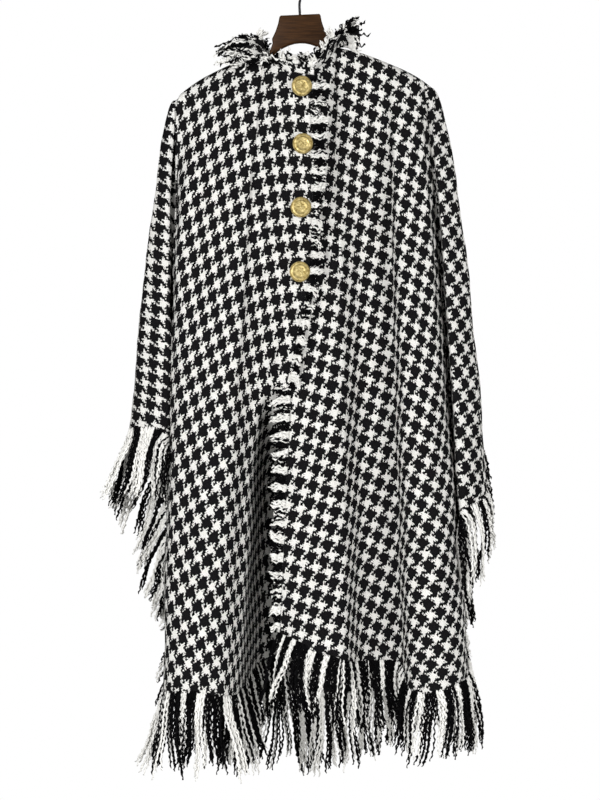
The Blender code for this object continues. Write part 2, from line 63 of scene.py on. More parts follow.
# A line down the cloth. spread and hang bend it sideways and forward, wrap is 1 where it passes over the wood, and
# swing and recede take the right front's edge aside and in behind the left front
Fold = namedtuple("Fold", "name x_top y_top z_top x_end y_end z_end spread hang wrap swing recede", defaults=(0, 0, 0))


def hung(name, x_top, x_end, y_end, z_end, spread, hang=1.0, wrap=1):
    """A fold that starts on the wood."""
    return Fold(name, x_top, 0.0, shoulder_z(x_top), x_end, y_end, z_end, spread, hang, wrap)


FRONT_RIGHT = (
    Fold("right_edge", 0.021, -0.051, -0.163, -0.022, 0.064, -1.056, 1.0, 1.0, 0, -0.047, 0.156),
    Fold("button_line", 0.000, -0.049, -0.160, -0.060, 0.056, -1.062, 1.0, 1.0, 0, -0.030, 0.142),
    Fold("right_inner", -0.033, -0.037, -0.148, -0.094, -0.070, -1.094, 0.9, 1.3),
    Fold("right_neck_turn", -0.052, -0.015, -0.128, -0.111, -0.102, -1.092, 0.9, 1.0, 0.5),
    hung("right_neck", -0.057, -0.126, -0.112, -1.088, 0.9, 0.7),
    hung("right_crest", -0.085, -0.150, -0.115, -1.084, 0.9, 0.7),
    hung("right_outer", -0.141, -0.194, -0.098, -1.086, 0.45, 0.85),
    hung("right_side", -0.180, -0.204, -0.044, -1.088, 0.35),
    hung("right_arm_valley", -0.186, -0.187, 0.008, -0.975, 0.5, 0.5),
    hung("right_arm_turn", -0.188, -0.201, 0.003, -0.865, 0.5),
    hung("right_arm_crest", -0.189, -0.204, -0.050, -0.703, 0.2, 0.9),
)
BACK = (
    hung("right_arm", -0.190, -0.257, -0.022, -0.698, 0.6, wrap=0),
    hung("back_right_arm", -0.189, -0.238, 0.055, -0.720, 0.6, 0.9),
    hung("back_right_turn", -0.188, -0.199, 0.036, -0.870, 0.4),
    hung("back_right_valley", -0.186, -0.190, 0.037, -0.975, 0.3),
    hung("back_right_side", -0.178, -0.200, 0.082, -1.095, 0.4),
    hung("back_right_crest", -0.135, -0.160, 0.132, -1.112, 0.8),
    hung("back_right_dip", -0.090, -0.100, 0.080, -1.112, 0.9, 1.2),
    hung("nape_right_side", -0.057, -0.058, 0.132, -1.118, 0.9),
    Fold("nape_right_turn", -0.052, 0.013, -0.127, -0.042, 0.134, -1.118, 0.9, 1.0, 0.5),
    Fold("nape_right", -0.026, 0.021, -0.148, -0.012, 0.120, -1.118, 1.0, 1.0),
    Fold("nape_left", 0.026, 0.021, -0.148, 0.036, 0.078, -1.118, 1.0, 1.2),
    Fold("nape_left_turn", 0.052, 0.013, -0.122, 0.066, 0.098, -1.117, 0.9, 1.0, 0.5),
    hung("nape_left_side", 0.057, 0.086, 0.118, -1.116, 0.9),
    hung("back_mid_crest", 0.085, 0.118, 0.138, -1.112, 0.9),
    hung("back_left_dip", 0.120, 0.162, 0.078, -1.108, 0.9, 1.2),
    hung("back_left_crest", 0.155, 0.212, 0.126, -1.100, 0.9),
    hung("back_left_side", 0.182, 0.254, 0.080, -1.080, 0.85),
    hung("back_left_valley", 0.187, 0.246, 0.036, -0.965, 0.8),
    hung("back_left_turn", 0.190, 0.254, 0.035, -0.860, 0.8),
    hung("back_left_arm", 0.197, 0.277, 0.056, -0.716, 0.6, 0.9),
    hung("left_arm", 0.202, 0.281, -0.022, -0.800, 0.55, wrap=0),
)
FRONT_LEFT = (
    hung("left_arm_crest", 0.196, 0.245, -0.054, -0.820, 0.8, 0.9),
    hung("left_arm_turn", 0.190, 0.248, 0.004, -0.880, 0.75),
    hung("left_arm_valley", 0.187, 0.244, 0.006, -0.960, 0.75, 0.5),
    hung("left_side", 0.184, 0.254, -0.046, -1.064, 1.05),
    hung("left_outer", 0.178, 0.233, -0.098, -1.074, 0.85, 0.85),
    hung("left_second_crest", 0.160, 0.199, -0.114, -1.083, 1.0, 0.75),
    hung("left_second_inner", 0.140, 0.168, -0.098, -1.086, 1.0, 0.75),
    hung("left_second_flank", 0.134, 0.1585, -0.072, -1.074, 1.0),
    hung("left_valley", 0.128, 0.150, -0.044, -1.050, 1.0, 1.3),
    hung("left_flank", 0.092, 0.094, -0.048, -1.048, 1.0, 1.6),
    hung("left_neck_flank", 0.0745, 0.0795, -0.078, -1.045, 1.0, 1.4),
    hung("left_neck", 0.057, 0.066, -0.106, -1.040, 1.0, 1.2),
    Fold("left_neck_turn", 0.052, -0.015, -0.122, 0.046, -0.112, -1.032, 1.0, 1.3, 0.5),
    Fold("left_placket", 0.033, -0.034, -0.145, 0.022, -0.108, -1.024, 1.0, 1.6),
    Fold("left_inner", 0.010, -0.042, -0.158, -0.002, -0.102, -1.012, 1.5, 1.6),
    Fold("left_edge", -0.004, -0.044, -0.160, -0.034, -0.085, -1.000, 1.3, 1.6),
)
ROUND = FRONT_RIGHT + BACK + FRONT_LEFT
ROWS = np.arange(len(ROUND))
AT = namedtuple("At", [fold.name for fold in ROUND])(*range(len(ROUND)))
PANELS = {
    "front_right": (0, AT.right_arm),
    "back": (AT.right_arm, AT.left_arm),
    "front_left": (AT.left_arm, AT.left_edge),
}

# Cloth grid: steps from fold to fold, and shares of the way down, close together over the wood
FOLD_STEPS = {"front_right": 14, "back": 9, "front_left": 13}
OVER_WOOD = (0, 0.0006, 0.0015, 0.003, 0.005, 0.008, 0.012, 0.018)
BODY_ROWS = 160

# Weave: size of one repeat of the check across and down, and threads in it
REPEAT_ACROSS = 0.0207
REPEAT_DOWN = 0.0249
THREADS = 8
TWILL_START = 2

# How the threads lie on each fold, in degrees, at the shoulder and at the hem: tilt drops the cross threads away from
# the middle of the front or back, and lean turns the down threads towards it
Grain = namedtuple("Grain", "fold tilt tilt_hem lean lean_hem")
GRAIN = (
    Grain("right_edge", -6, 8, 0, 4),
    Grain("button_line", -4, 14, 2, 8),
    Grain("right_inner", 6, 30, 7, 20),
    Grain("right_neck", 16, 34, 11, 28),
    Grain("right_crest", 28, 38, 14, 36),
    Grain("right_outer", 38, 38, 17, 38),
    Grain("right_arm", 38, 38, 17, 38),
    Grain("back_right_side", 34, 34, 12, 26),
    Grain("back_right_dip", 24, 24, 8, 18),
    Grain("nape_right", 3, 3, 0, 0),
    Grain("nape_left", 3, 3, 0, 0),
    Grain("back_mid_crest", 24, 24, 8, 18),
    Grain("back_left_side", 34, 34, 12, 26),
    Grain("left_arm", 37, 37, 20, 34),
    Grain("left_side", 37, 37, 20, 34),
    Grain("left_second_crest", 35, 35, 18, 33),
    Grain("left_second_inner", 34, 34, 12, 26),
    Grain("left_valley", 28, 28, 5, 17),
    Grain("left_flank", 24, 24, 5, 14),
    Grain("left_neck", 21, 21, 4, 13),
    Grain("left_placket", 18, 18, 3, 11),
    Grain("left_edge", 14, 14, 2, 8),
)
TILT_FROM, TILT_BY = 0.10, 0.60
LEAN_FROM = 0.35
FIT_ROUNDS = 700
LEAST_STEP = 1e-5
WEIGHT_LIMITS = (0.2, 6)

# Creases besides the folds: a line on the cloth from one fold and share down to another, its depth (in is -) and width
Crease = namedtuple("Crease", "fold share fold_end share_end depth width")
CREASES = (
    Crease(AT.right_side - 0.35, 0.06, AT.right_side - 0.1, 0.40, -0.006, 0.010),
    Crease(AT.right_outer - 0.2, 0.05, AT.right_outer + 0.3, 0.34, 0.004, 0.014),
    Crease(AT.right_neck + 0.4, 0.10, AT.right_inner + 0.3, 0.50, -0.003, 0.020),
    Crease(AT.right_crest + 0.3, 0.45, AT.right_crest + 0.1, 0.98, 0.004, 0.022),
    Crease(AT.right_inner + 0.1, 0.45, AT.right_inner + 0.5, 0.95, -0.004, 0.014),
    Crease(AT.left_flank - 0.3, 0.20, AT.left_flank - 0.1, 0.70, -0.004, 0.014),
    Crease(AT.left_neck - 0.2, 0.25, AT.left_neck_turn + 0.2, 0.90, 0.004, 0.020),
    Crease(AT.left_valley + 0.2, 0.10, AT.left_valley, 0.45, -0.005, 0.012),
    Crease(AT.left_second_crest - 0.4, 0.12, AT.left_second_crest - 0.2, 0.60, -0.004, 0.012),
    Crease(AT.left_outer + 0.1, 0.35, AT.left_outer - 0.1, 0.95, -0.004, 0.014),
    Crease(AT.nape_right - 0.4, 0.05, AT.back_right_dip + 0.6, 0.60, -0.005, 0.018),
    Crease(AT.nape_left + 0.5, 0.05, AT.nape_left_side + 0.4, 0.55, -0.005, 0.018),
    Crease(AT.back_left_dip - 0.4, 0.30, AT.back_left_dip - 0.2, 0.95, 0.004, 0.018),
    Crease(AT.back_right_crest + 0.3, 0.30, AT.back_right_crest + 0.5, 0.95, -0.004, 0.016),
    Crease(AT.back_left_crest + 0.3, 0.10, AT.back_left_crest + 0.4, 0.60, -0.005, 0.012),
)
UNEVEN = 0.0011


def ease(value, start, end):
    """0 before start, 1 after end, smooth between."""
    u = np.clip((value - start) / (end - start), 0, 1)
    return u * u * (3 - 2 * u)


def unit(vectors):
    return vectors / np.linalg.norm(vectors, axis=-1, keepdims=True)


def through(points, s, taut=False):
    """Smooth curve through points, read at fractional point numbers s. A taut one never overshoots them."""
    points = np.asarray(points, float)
    leg = np.diff(points, axis=0)
    gap = np.maximum(np.linalg.norm(leg, axis=1), 0.0004)[:, None] ** 0.5
    slope = leg / gap
    before, after = slope[:-1], slope[1:]
    inner = (before * gap[1:] + after * gap[:-1]) / (gap[:-1] + gap[1:])
    if taut:
        inner = np.where(before * after > 0, 2 * before * after / (before + after + 1e-12), 0)
    tangent = np.vstack([slope[:1], inner, slope[-1:]])
    i = np.clip(np.floor(s).astype(int), 0, len(leg) - 1)
    u = (s - i)[..., None]
    rise, hold = u * u * (3 - 2 * u), u * (1 - u)
    bend = tangent[i] * (1 - u) - tangent[i + 1] * u
    return points[i] * (1 - rise) + points[i + 1] * rise + bend * hold * gap[i]


def column(name):
    return np.array([getattr(fold, name) for fold in ROUND], float)


TOPS = np.array([(fold.x_top, fold.y_top, fold.z_top) for fold in ROUND])
ENDS = np.array([(fold.x_end, fold.y_end, fold.z_end) for fold in ROUND])


def cloth(s, t):
    """Middle of the cloth on fold line s, at the share t of the way from the shoulder to the hem."""
    s, t = np.broadcast_arrays(np.asarray(s, float), np.asarray(t, float))
    top, end = through(TOPS, s, taut=True), through(ENDS, s)
    spread, hang, wrap, swing, recede = (
        np.interp(s, ROWS, column(name)) for name in ("spread", "hang", "wrap", "swing", "recede")
    )
    facing = np.where((s > AT.right_arm) & (s < AT.left_arm), 1.0, -1.0)
    drop = np.clip((top[..., 2] - end[..., 2]) * t, 0, WRAP_RADIUS)
    over_wood = facing * wrap * np.sqrt(WRAP_RADIUS**2 - (WRAP_RADIUS - drop) ** 2)
    end_y = end[..., 1] - facing * wrap * WRAP_RADIUS - recede
    x = top[..., 0] + (end[..., 0] - swing - top[..., 0]) * t**spread + swing * ease(t, SWING_FROM, SWING_BY)
    y = top[..., 1] + (end_y - top[..., 1]) * t**hang + recede * ease(t, RECEDE_FROM, RECEDE_BY)
    z = top[..., 2] + (end[..., 2] - top[..., 2]) * t
    return np.stack([x, y + over_wood, z], axis=-1)


def outward(s, t):
    """Direction out of the cloth's outer face."""
    s, t = np.broadcast_arrays(np.asarray(s, float), np.asarray(t, float))
    along = cloth(s + 0.02, t) - cloth(s - 0.02, t)
    down = cloth(s, np.minimum(t + 0.0006, 1)) - cloth(s, np.maximum(t - 0.0006, 0))
    return unit(np.cross(along, down))


# Materials


class Finish:
    """A procedural material and short ways to wire it."""

    def __init__(self, name, **shader_values):
        self.material = bpy.data.materials.new(name)
        self.material.use_nodes = True
        self.tree = self.material.node_tree
        self.shader = self.tree.nodes["Principled BSDF"]
        for socket, value in shader_values.items():
            self.shader.inputs[socket.replace("_", " ")].default_value = value

    def put(self, value, socket):
        if isinstance(value, bpy.types.NodeSocket):
            self.tree.links.new(value, socket)
        else:
            socket.default_value = value

    def node(self, kind, output, inputs=None, **settings):
        """Output of a new node. Its inputs go by their names or numbers."""
        made = self.tree.nodes.new(f"ShaderNode{kind}")
        for setting, value in settings.items():
            setattr(made, setting, value)
        for socket, value in (inputs or {}).items():
            self.put(value, made.inputs[socket])
        return made.outputs[output]

    def calc(self, operation, first, second=0.0):
        return self.node("Math", 0, {0: first, 1: second}, operation=operation)

    def object_place(self):
        return self.node("TexCoord", "Object")

    def noise(self, place, scale, detail=3.0, roughness=0.6, output="Fac"):
        return self.node(
            "TexNoise", output, {"Vector": place, "Scale": scale, "Detail": detail, "Roughness": roughness}
        )

    def stretched(self, place, scale):
        return self.node("Mapping", "Vector", {"Vector": place, "Scale": scale})

    def mix(self, share, first, second):
        return self.node("Mix", 2, {0: share, 6: first, 7: second}, data_type="RGBA")

    def ranged(self, value, low, high, to_low=0.0, to_high=1.0):
        limits = {"From Min": low, "From Max": high, "To Min": to_low, "To Max": to_high}
        return self.node("MapRange", "Result", {"Value": value, **limits})

    def bump(self, height, distance, strength):
        normal = self.node("Bump", "Normal", {"Height": height, "Distance": distance, "Strength": strength})
        self.put(normal, self.shader.inputs["Normal"])

    def colour(self, value):
        self.put(value, self.shader.inputs["Base Color"])

    def rough(self, value):
        self.put(value, self.shader.inputs["Roughness"])


WOOL_BLACK = (0.0009, 0.0009, 0.0011, 1)
WOOL_SOOT = (0.0170, 0.0165, 0.0176, 1)
WOOL_CREAM = (0.88, 0.87, 0.84, 1)
# Darker cream: randomly dimmer fibres, and painted shade in the gaps between threads
WOOL_DIM_FIBRE_AND_GAP_SHADE = (0.50, 0.49, 0.46, 1)
YARN_CREAM = (0.97, 0.96, 0.93, 1)
YARN_SHADE = (0.74, 0.73, 0.69, 1)
LIGHT_SHARE = 0.412
THREAD_BARE = 0.10
LEG = 1.7
HAIR = ((140.0, 0.0036), (330.0, 0.0042), (1100.0, 0.0030))


def thread_count(wool, place, repeat):
    """Threads passed at a place, with the light ones a little finer than the dark ones."""
    calc = wool.calc
    repeats = calc("DIVIDE", place, repeat)
    whole = calc("FLOOR", repeats)
    part = calc("SUBTRACT", repeats, whole)
    half = THREADS / 2
    in_light = calc("MULTIPLY", part, half / LIGHT_SHARE)
    past = calc("MULTIPLY", calc("SUBTRACT", part, LIGHT_SHARE), half / (1 - LIGHT_SHARE))
    in_dark = calc("ADD", past, half)
    return calc("ADD", calc("MULTIPLY", whole, THREADS), calc("MINIMUM", in_light, in_dark))


def near_light(wool, passed):
    """1 in a light run of threads and up to a leg's length from it, by the count of threads passed."""
    calc = wool.calc
    from_middle = calc("SUBTRACT", calc("FLOORED_MODULO", passed, THREADS), THREADS * 0.75)
    return calc("GREATER_THAN", calc("ABSOLUTE", from_middle), THREADS / 4 - LEG)


def checked_wool():
    """Four-and-four check in a two-and-two twill, from the weave map in metres, with hairy thread edges and painted
    shade in the gaps between threads.
    """
    wool = Finish("checked_wool", Roughness=0.95, Specular_IOR_Level=0.02)
    calc = wool.calc
    weave = wool.node("UVMap", "UV", uv_map="weave")
    pulled = weave
    for scale, amount in HAIR:
        hair = wool.noise(weave, scale, 2.0, output="Color")
        pulled = wool.node("VectorMath", 0, {0: hair, 1: (amount, amount, 0), 2: pulled}, operation="MULTIPLY_ADD")
    across = thread_count(wool, wool.node("SeparateXYZ", "X", {0: pulled}), REPEAT_ACROSS)
    down = thread_count(wool, wool.node("SeparateXYZ", "Y", {0: pulled}), REPEAT_DOWN)
    numbers = [calc("FLOOR", passed) for passed in (across, down)]
    warp_light, weft_light = (
        calc("LESS_THAN", calc("FLOORED_MODULO", number, THREADS), THREADS / 2 - 0.5) for number in numbers
    )
    twill = calc("ADD", calc("ADD", *numbers), TWILL_START)
    warp_over = calc("LESS_THAN", calc("FLOORED_MODULO", twill, 4.0), 1.5)
    weft_over = calc("SUBTRACT", 1.0, warp_over)
    # A light thread shows on dark ones only near the light check that it comes from, so that checks are short-legged
    warp_shown = calc("MULTIPLY", calc("MULTIPLY", warp_light, warp_over), near_light(wool, down))
    weft_shown = calc("MULTIPLY", calc("MULTIPLY", weft_light, weft_over), near_light(wool, across))
    light = calc("ADD", warp_shown, weft_shown)
    warp_round = calc("PINGPONG", across, 0.5)
    weft_round = calc("PINGPONG", down, 0.5)
    height = calc("ADD", calc("MULTIPLY", warp_round, warp_over), calc("MULTIPLY", weft_round, weft_over))
    # Where a light thread crosses dark ones it is drawn thin, so the dark shows at both its edges
    crossing = calc("ABSOLUTE", calc("SUBTRACT", warp_light, weft_light))
    drawn_thin = calc("MULTIPLY", crossing, calc("LESS_THAN", height, THREAD_BARE))
    light = calc("MULTIPLY", light, calc("SUBTRACT", 1.0, drawn_thin))
    fibre = wool.noise(weave, 1050.0, 3.0, 0.7)
    cloudy = wool.noise(weave, 38.0, 2.0)
    # The cream is dimmed by random fibre tone, and by painted shade where each thread's round falls away towards its
    # edges
    shade = calc("MULTIPLY", wool.ranged(fibre, 0.32, 0.56), wool.ranged(height, 0.0, 0.3, 0.55, 1.0))
    cream = wool.mix(shade, WOOL_DIM_FIBRE_AND_GAP_SHADE, WOOL_CREAM)
    black = wool.mix(wool.ranged(fibre, 0.4, 0.65), WOOL_BLACK, WOOL_SOOT)
    checked = wool.mix(light, black, cream)
    fade = wool.ranged(cloudy, 0.3, 0.7, 0.93, 1.05)
    wool.colour(wool.node("HueSaturation", "Color", {"Color": checked, "Value": fade}))
    wool.bump(calc("ADD", height, calc("MULTIPLY", fibre, 0.5)), 0.0012, 0.6)
    return wool.material


def fringe_yarn():
    yarn = Finish("fringe_yarn", Roughness=0.95, Specular_IOR_Level=0.02)
    fibre = yarn.noise(yarn.stretched(yarn.object_place(), (1, 1, 0.35)), 1500.0, 2.0, 0.7)
    cream = yarn.mix(yarn.ranged(fibre, 0.35, 0.6), YARN_SHADE, YARN_CREAM)
    black = yarn.mix(yarn.ranged(fibre, 0.45, 0.8), WOOL_BLACK, WOOL_SOOT)
    tone = yarn.node("Attribute", "Fac", attribute_name="tone")
    yarn.colour(yarn.mix(tone, black, cream))
    yarn.bump(fibre, 0.0008, 0.6)
    return yarn.material


def gold_metal():
    gold = Finish("gold_metal", Metallic=0.85, Specular_IOR_Level=0.3)
    place = gold.object_place()
    worn = gold.noise(place, 260.0, 4.0)
    gold.colour(gold.mix(gold.ranged(worn, 0.35, 0.7), (0.25, 0.185, 0.055, 1), (0.62, 0.51, 0.245, 1)))
    gold.rough(gold.ranged(worn, 0.3, 0.7, 0.60, 0.44))
    gold.bump(gold.noise(place, 1400.0, 2.0), 0.0002, 0.4)
    return gold.material


def dark_wood():
    wood = Finish("dark_wood", Coat_Weight=0.04, Coat_Roughness=0.25, Specular_IOR_Level=0.12)
    place = wood.object_place()
    figure = wood.noise(wood.stretched(place, (3.0, 10.0, 26.0)), 14.0, 5.0, 0.6)
    pores = wood.noise(wood.stretched(place, (6.0, 30.0, 90.0)), 22.0, 3.0)
    wood.colour(wood.mix(wood.ranged(figure, 0.35, 0.65), (0.028, 0.0115, 0.0036, 1), (0.056, 0.0235, 0.0072, 1)))
    wood.rough(wood.ranged(pores, 0.3, 0.7, 0.5, 0.34))
    wood.bump(pores, 0.0003, 0.35)
    return wood.material


def black_wire():
    wire = Finish("black_wire", Metallic=1.0)
    worn = wire.noise(wire.object_place(), 320.0, 3.0)
    wire.colour(wire.mix(wire.ranged(worn, 0.4, 0.8), (0.012, 0.012, 0.013, 1), (0.05, 0.05, 0.052, 1)))
    wire.rough(wire.ranged(worn, 0.3, 0.7, 0.28, 0.42))
    return wire.material


def stitch_thread():
    thread = Finish("stitch_thread", Roughness=0.8, Specular_IOR_Level=0.3)
    twist = thread.noise(thread.object_place(), 2200.0, 2.0)
    thread.colour(thread.mix(twist, (0.006, 0.006, 0.007, 1), (0.022, 0.021, 0.022, 1)))
    return thread.material


CHECKED_WOOL = checked_wool()
FRINGE_YARN = fringe_yarn()
GOLD = gold_metal()
DARK_WOOD = dark_wood()
BLACK_WIRE = black_wire()
STITCH_THREAD = stitch_thread()


# Pieces


def link(name, data):
    made = bpy.data.objects.new(name, data)
    bpy.context.scene.collection.objects.link(made)
    return made


def add_piece(mesh, finish, slot, *nodes, sharp=None):
    """A piece of the mesh's name that replaces nodes, shaded smooth but at edges over the angle sharp, in degrees."""
    mesh.shade_smooth()
    if sharp:
        mesh.set_sharp_from_angle(angle=math.radians(sharp))
    mesh.materials.append(finish)
    piece = link(mesh.name, mesh)
    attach(piece, "root")
    if nodes:
        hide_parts(*nodes)
    return piece


def mesh_of(name, bm):
    mesh = bpy.data.meshes.new(name)
    bm.to_mesh(mesh)
    bm.free()
    return mesh


def bead(bm, size, turn, place, around=8, along=6):
    made = bmesh.ops.create_uvsphere(bm, u_segments=around, v_segments=along, radius=1.0)["verts"]
    bmesh.ops.scale(bm, verts=made, vec=size)
    bmesh.ops.rotate(bm, verts=made, cent=(0, 0, 0), matrix=turn)
    bmesh.ops.translate(bm, verts=made, vec=place)


def grid_mesh(name, points):
    """A sheet of rows by columns of points, and the row and column of each of its vertices."""
    rows, columns = points.shape[:2]
    bm = bmesh.new()
    bmesh.ops.create_grid(bm, x_segments=rows - 1, y_segments=columns - 1, size=0.5)
    mesh = mesh_of(name, bm)
    flat = np.empty(len(mesh.vertices) * 3)
    mesh.vertices.foreach_get("co", flat)
    flat = flat.reshape(-1, 3)
    i = np.rint((flat[:, 0] + 0.5) * (rows - 1)).astype(int)
    j = np.rint((flat[:, 1] + 0.5) * (columns - 1)).astype(int)
    mesh.vertices.foreach_set("co", points[i, j].ravel())
    mesh.update()
    return mesh, i, j


def thicken(piece, thick):
    made = piece.modifiers.new("cloth_thickness", "SOLIDIFY")
    made.thickness = thick
    made.offset = 0


def map_weave(mesh, i, j, weave):
    """Lays the weave map on a sheet. weave gives each face's corners their place in the cloth."""
    loops = np.empty(len(mesh.loops), int)
    mesh.loops.foreach_get("vertex_index", loops)
    faces = loops.reshape(-1, 4)
    first_row = np.repeat(i[faces].min(axis=1), 4)
    layer = mesh.uv_layers.new(name="weave")
    layer.data.foreach_set("uv", weave(i[loops], j[loops], first_row).ravel())


# Cloth


def grain(column_name, s):
    rows = np.array([getattr(AT, row.fold) for row in GRAIN], float)
    return np.radians(np.interp(s, rows, [getattr(row, column_name) for row in GRAIN]))


def lay_weave(points, tilt, lean, towards):
    """Where each place lies in the weave: cross and down, in metres along the threads. Fitted by least squares, so
    that threads keep their length and lie as tilt and lean say. towards is 1 where the middle is ahead, else -1."""
    along, down = np.gradient(points, axis=0), np.gradient(points, axis=1)
    out = unit(np.cross(along, down))
    level = np.cross(np.array((0, 0, 1.0)), out)
    flat = np.linalg.norm(level, axis=-1, keepdims=True) < 0.5
    level = unit(np.where(flat, -unit(along), level))
    fall = np.cross(level, out)
    skew = np.cos(tilt - lean)
    cross_way = (level * np.cos(lean)[..., None] - fall * (towards * np.sin(lean))[..., None]) / skew[..., None]
    down_way = (fall * np.cos(tilt)[..., None] + level * (towards * np.sin(tilt))[..., None]) / skew[..., None]
    steps = [np.diff(points, axis=axis) for axis in (0, 1)]
    near = [np.maximum(np.linalg.norm(step, axis=-1), LEAST_STEP) for step in steps]
    beside = [(near[1][1:] + near[1][:-1]) / 2, (near[0][:, 1:] + near[0][:, :-1]) / 2]
    weight = [
        np.clip(np.pad(beside[0], ((0, 0), (0, 1)), mode="edge") / near[0], *WEIGHT_LIMITS),
        np.clip(np.pad(beside[1], ((0, 1), (0, 0)), mode="edge") / near[1], *WEIGHT_LIMITS),
    ]

    def gather(row_steps, fall_steps, behind=-1):
        total = np.zeros(points.shape[:2])
        total[1:] += row_steps
        total[:-1] += behind * row_steps
        total[:, 1:] += fall_steps
        total[:, :-1] += behind * fall_steps
        return total

    def pulled(place):
        return gather(weight[0] * np.diff(place, axis=0), weight[1] * np.diff(place, axis=1))

    heavy = gather(*weight, behind=1)
    found = []
    for way in (cross_way, down_way):
        wanted = [
            np.sum(steps[0] * (way[1:] + way[:-1]) / 2, axis=-1),
            np.sum(steps[1] * (way[:, 1:] + way[:, :-1]) / 2, axis=-1),
        ]
        place = np.zeros(points.shape[:2])
        place[:, 1:] = np.cumsum(wanted[1], axis=1)
        place[1:] += np.cumsum(wanted[0].mean(axis=1))[:, None]
        left = gather(weight[0] * wanted[0], weight[1] * wanted[1]) - pulled(place)
        eased = left / heavy
        push = eased.copy()
        size = np.sum(left * eased)
        for _ in range(FIT_ROUNDS):
            back = pulled(push)
            share = size / np.sum(push * back)
            place += share * push
            left -= share * back
            eased = left / heavy
            grown = np.sum(left * eased)
            push = eased + push * (grown / size)
            size = grown
        found.append(place)
    return np.stack(found, axis=-1)


def creased(s, t):
    """How far the creases and the cloth's slight unevenness move it out."""
    places = cloth(s, t)
    moved = np.zeros(places.shape[:-1])
    for crease in CREASES:
        q = np.linspace(0, 1, 36)
        line = cloth(
            crease.fold + (crease.fold_end - crease.fold) * q, crease.share + (crease.share_end - crease.share) * q
        )
        gaps = np.linalg.norm(places[..., None, :] - line, axis=-1)
        nearest = gaps.argmin(axis=-1)
        fade = np.sin(np.pi * np.clip(q[nearest], 0.02, 0.98)) ** 0.7
        moved += crease.depth * fade * np.exp(-((gaps.min(axis=-1) / crease.width) ** 2))
    x, y, z = (places[..., axis] for axis in range(3))
    slow = np.sin(31 * x + 17 * z + 1.3) * np.sin(23 * z - 19 * y) + 0.7 * np.sin(53 * x - 29 * z + 41 * y + 0.4)
    quick = 0.45 * np.sin(97 * x + 61 * z) * np.sin(71 * z + 83 * y + 2.1)
    return moved + UNEVEN * (slow + quick) * ease(t, 0.02, 0.15)


MIDDLES = {"front_right": -1, "back": AT.nape_right + 0.5, "front_left": AT.left_edge + 1}

# The side falls hang with their threads turned nearly round, by their own tilt and lean in degrees
SideFall = namedtuple("SideFall", "cloth start end towards tilt lean")
SIDE_FALLS = (
    SideFall("front_right", AT.right_arm_valley + 0.4, AT.right_arm, 1.0, 86, 80),
    SideFall("back", AT.right_arm, AT.back_right_valley - 0.4, 1.0, 86, 80),
    SideFall("back", AT.back_left_valley + 0.4, AT.left_arm, -1.0, 56, 40),
    SideFall("front_left", AT.left_arm, AT.left_arm_valley - 0.4, -1.0, 56, 40),
)


class Sheet:
    """One cloth panel: its grid, its places and where each lies in the weave."""

    def __init__(self, name):
        first, last = PANELS[name]
        self.name = name
        self.s = np.linspace(first, last, (last - first) * FOLD_STEPS[name] + 1)
        self.t = np.concatenate([OVER_WOOD, np.linspace(0.025, 1, BODY_ROWS)])
        places = np.clip(self.s, first + 1e-6, last - 1e-6)[:, None], self.t[None, :]
        smooth = cloth(*places)
        self.points = smooth + outward(*places) * creased(*places)[..., None]
        tilt = self.grain_down("tilt", "tilt_hem", ease(self.t, TILT_FROM, TILT_BY))
        lean = self.grain_down("lean", "lean_hem", ease(self.t, LEAN_FROM, 1.0))
        towards = np.where(self.s[:, None] > MIDDLES[name], 1.0, -1.0) + np.zeros_like(lean)
        self.weave = np.zeros(smooth.shape[:2] + (2,))
        body_start, body_end = 0, len(self.s)
        self.arms = []
        for fall in (fall for fall in SIDE_FALLS if fall.cloth == name):
            rows = slice(self.nearest(fall.start), self.nearest(fall.end) + 1)
            ways = (math.radians(fall.tilt), math.radians(fall.lean), fall.towards)
            turned = np.zeros_like(self.weave)
            turned[rows] = lay_weave(smooth[rows], *(np.full(lean[rows].shape, way) for way in ways))
            self.arms.append((rows.start, rows.stop - 1, turned))
            if rows.start == 0:
                body_start = rows.stop - 1
            else:
                body_end = rows.start + 1
        body = slice(body_start, body_end)
        self.weave[body] = lay_weave(smooth[body], tilt[body], lean[body], towards[body])

    def grain_down(self, at_shoulder, at_hem, share):
        upper, lower = grain(at_shoulder, self.s)[:, None], grain(at_hem, self.s)[:, None]
        return upper + (lower - upper) * share

    def nearest(self, s):
        return int(np.argmin(np.abs(self.s - s)))

    def weave_at(self, i, j, first_row):
        found = self.weave[i, j]
        for start, end, turned in self.arms:
            on_arm = (first_row >= start) & (first_row < end)
            found = np.where(on_arm[:, None], turned[i, j], found)
        return found

    def edge_threads(self, row, t):
        """Count of cross threads passed down a front's free edge, at shares t."""
        return np.interp(t, self.t, self.weave[row, :, 1]) * THREADS / REPEAT_DOWN

    def make(self):
        mesh, i, j = grid_mesh(f"cloth_{self.name}", self.points)
        map_weave(mesh, i, j, self.weave_at)
        piece = add_piece(mesh, CHECKED_WOOL, "cloth", self.name)
        thicken(piece, CLOTH_THICK)
        return piece


SHEETS = {name: Sheet(name) for name in PANELS}
CLOTHS = {name: sheet.make() for name, sheet in SHEETS.items()}


# Yarns

YARN_PITCH = 0.0021
YARN_RADIUS = 0.0020
YARN_FLAT = 0.55
YARN_TWIST = 0.0135
YARN_STRAY = 0.09
HEM_ROOT = 0.003
EDGE_YARN_PITCH = 0.0014
EDGE_ROOT = 0.005
NECK_YARN_COUNT = 520
NECK_SEED = 31

# By which share of its length a yarn has turned, its rings, its crimp and wander in metres, and how far bunches close
Manner = namedtuple("Manner", "turn_by rings crimp wander close")
HEM_MANNER = Manner(0.4, 34, 0.0010, 0.0050, 0.12)
EDGE_MANNER = Manner(0.8, 14, 0.0011, 0.0030, 0.0)
NECK_MANNER = Manner(0.7, 12, 0.0012, 0.0040, 0.1)


def walk(path):
    """Distance walked along a row of points, at each of them."""
    return np.concatenate([[0], np.cumsum(np.linalg.norm(np.diff(path, axis=0), axis=1))])


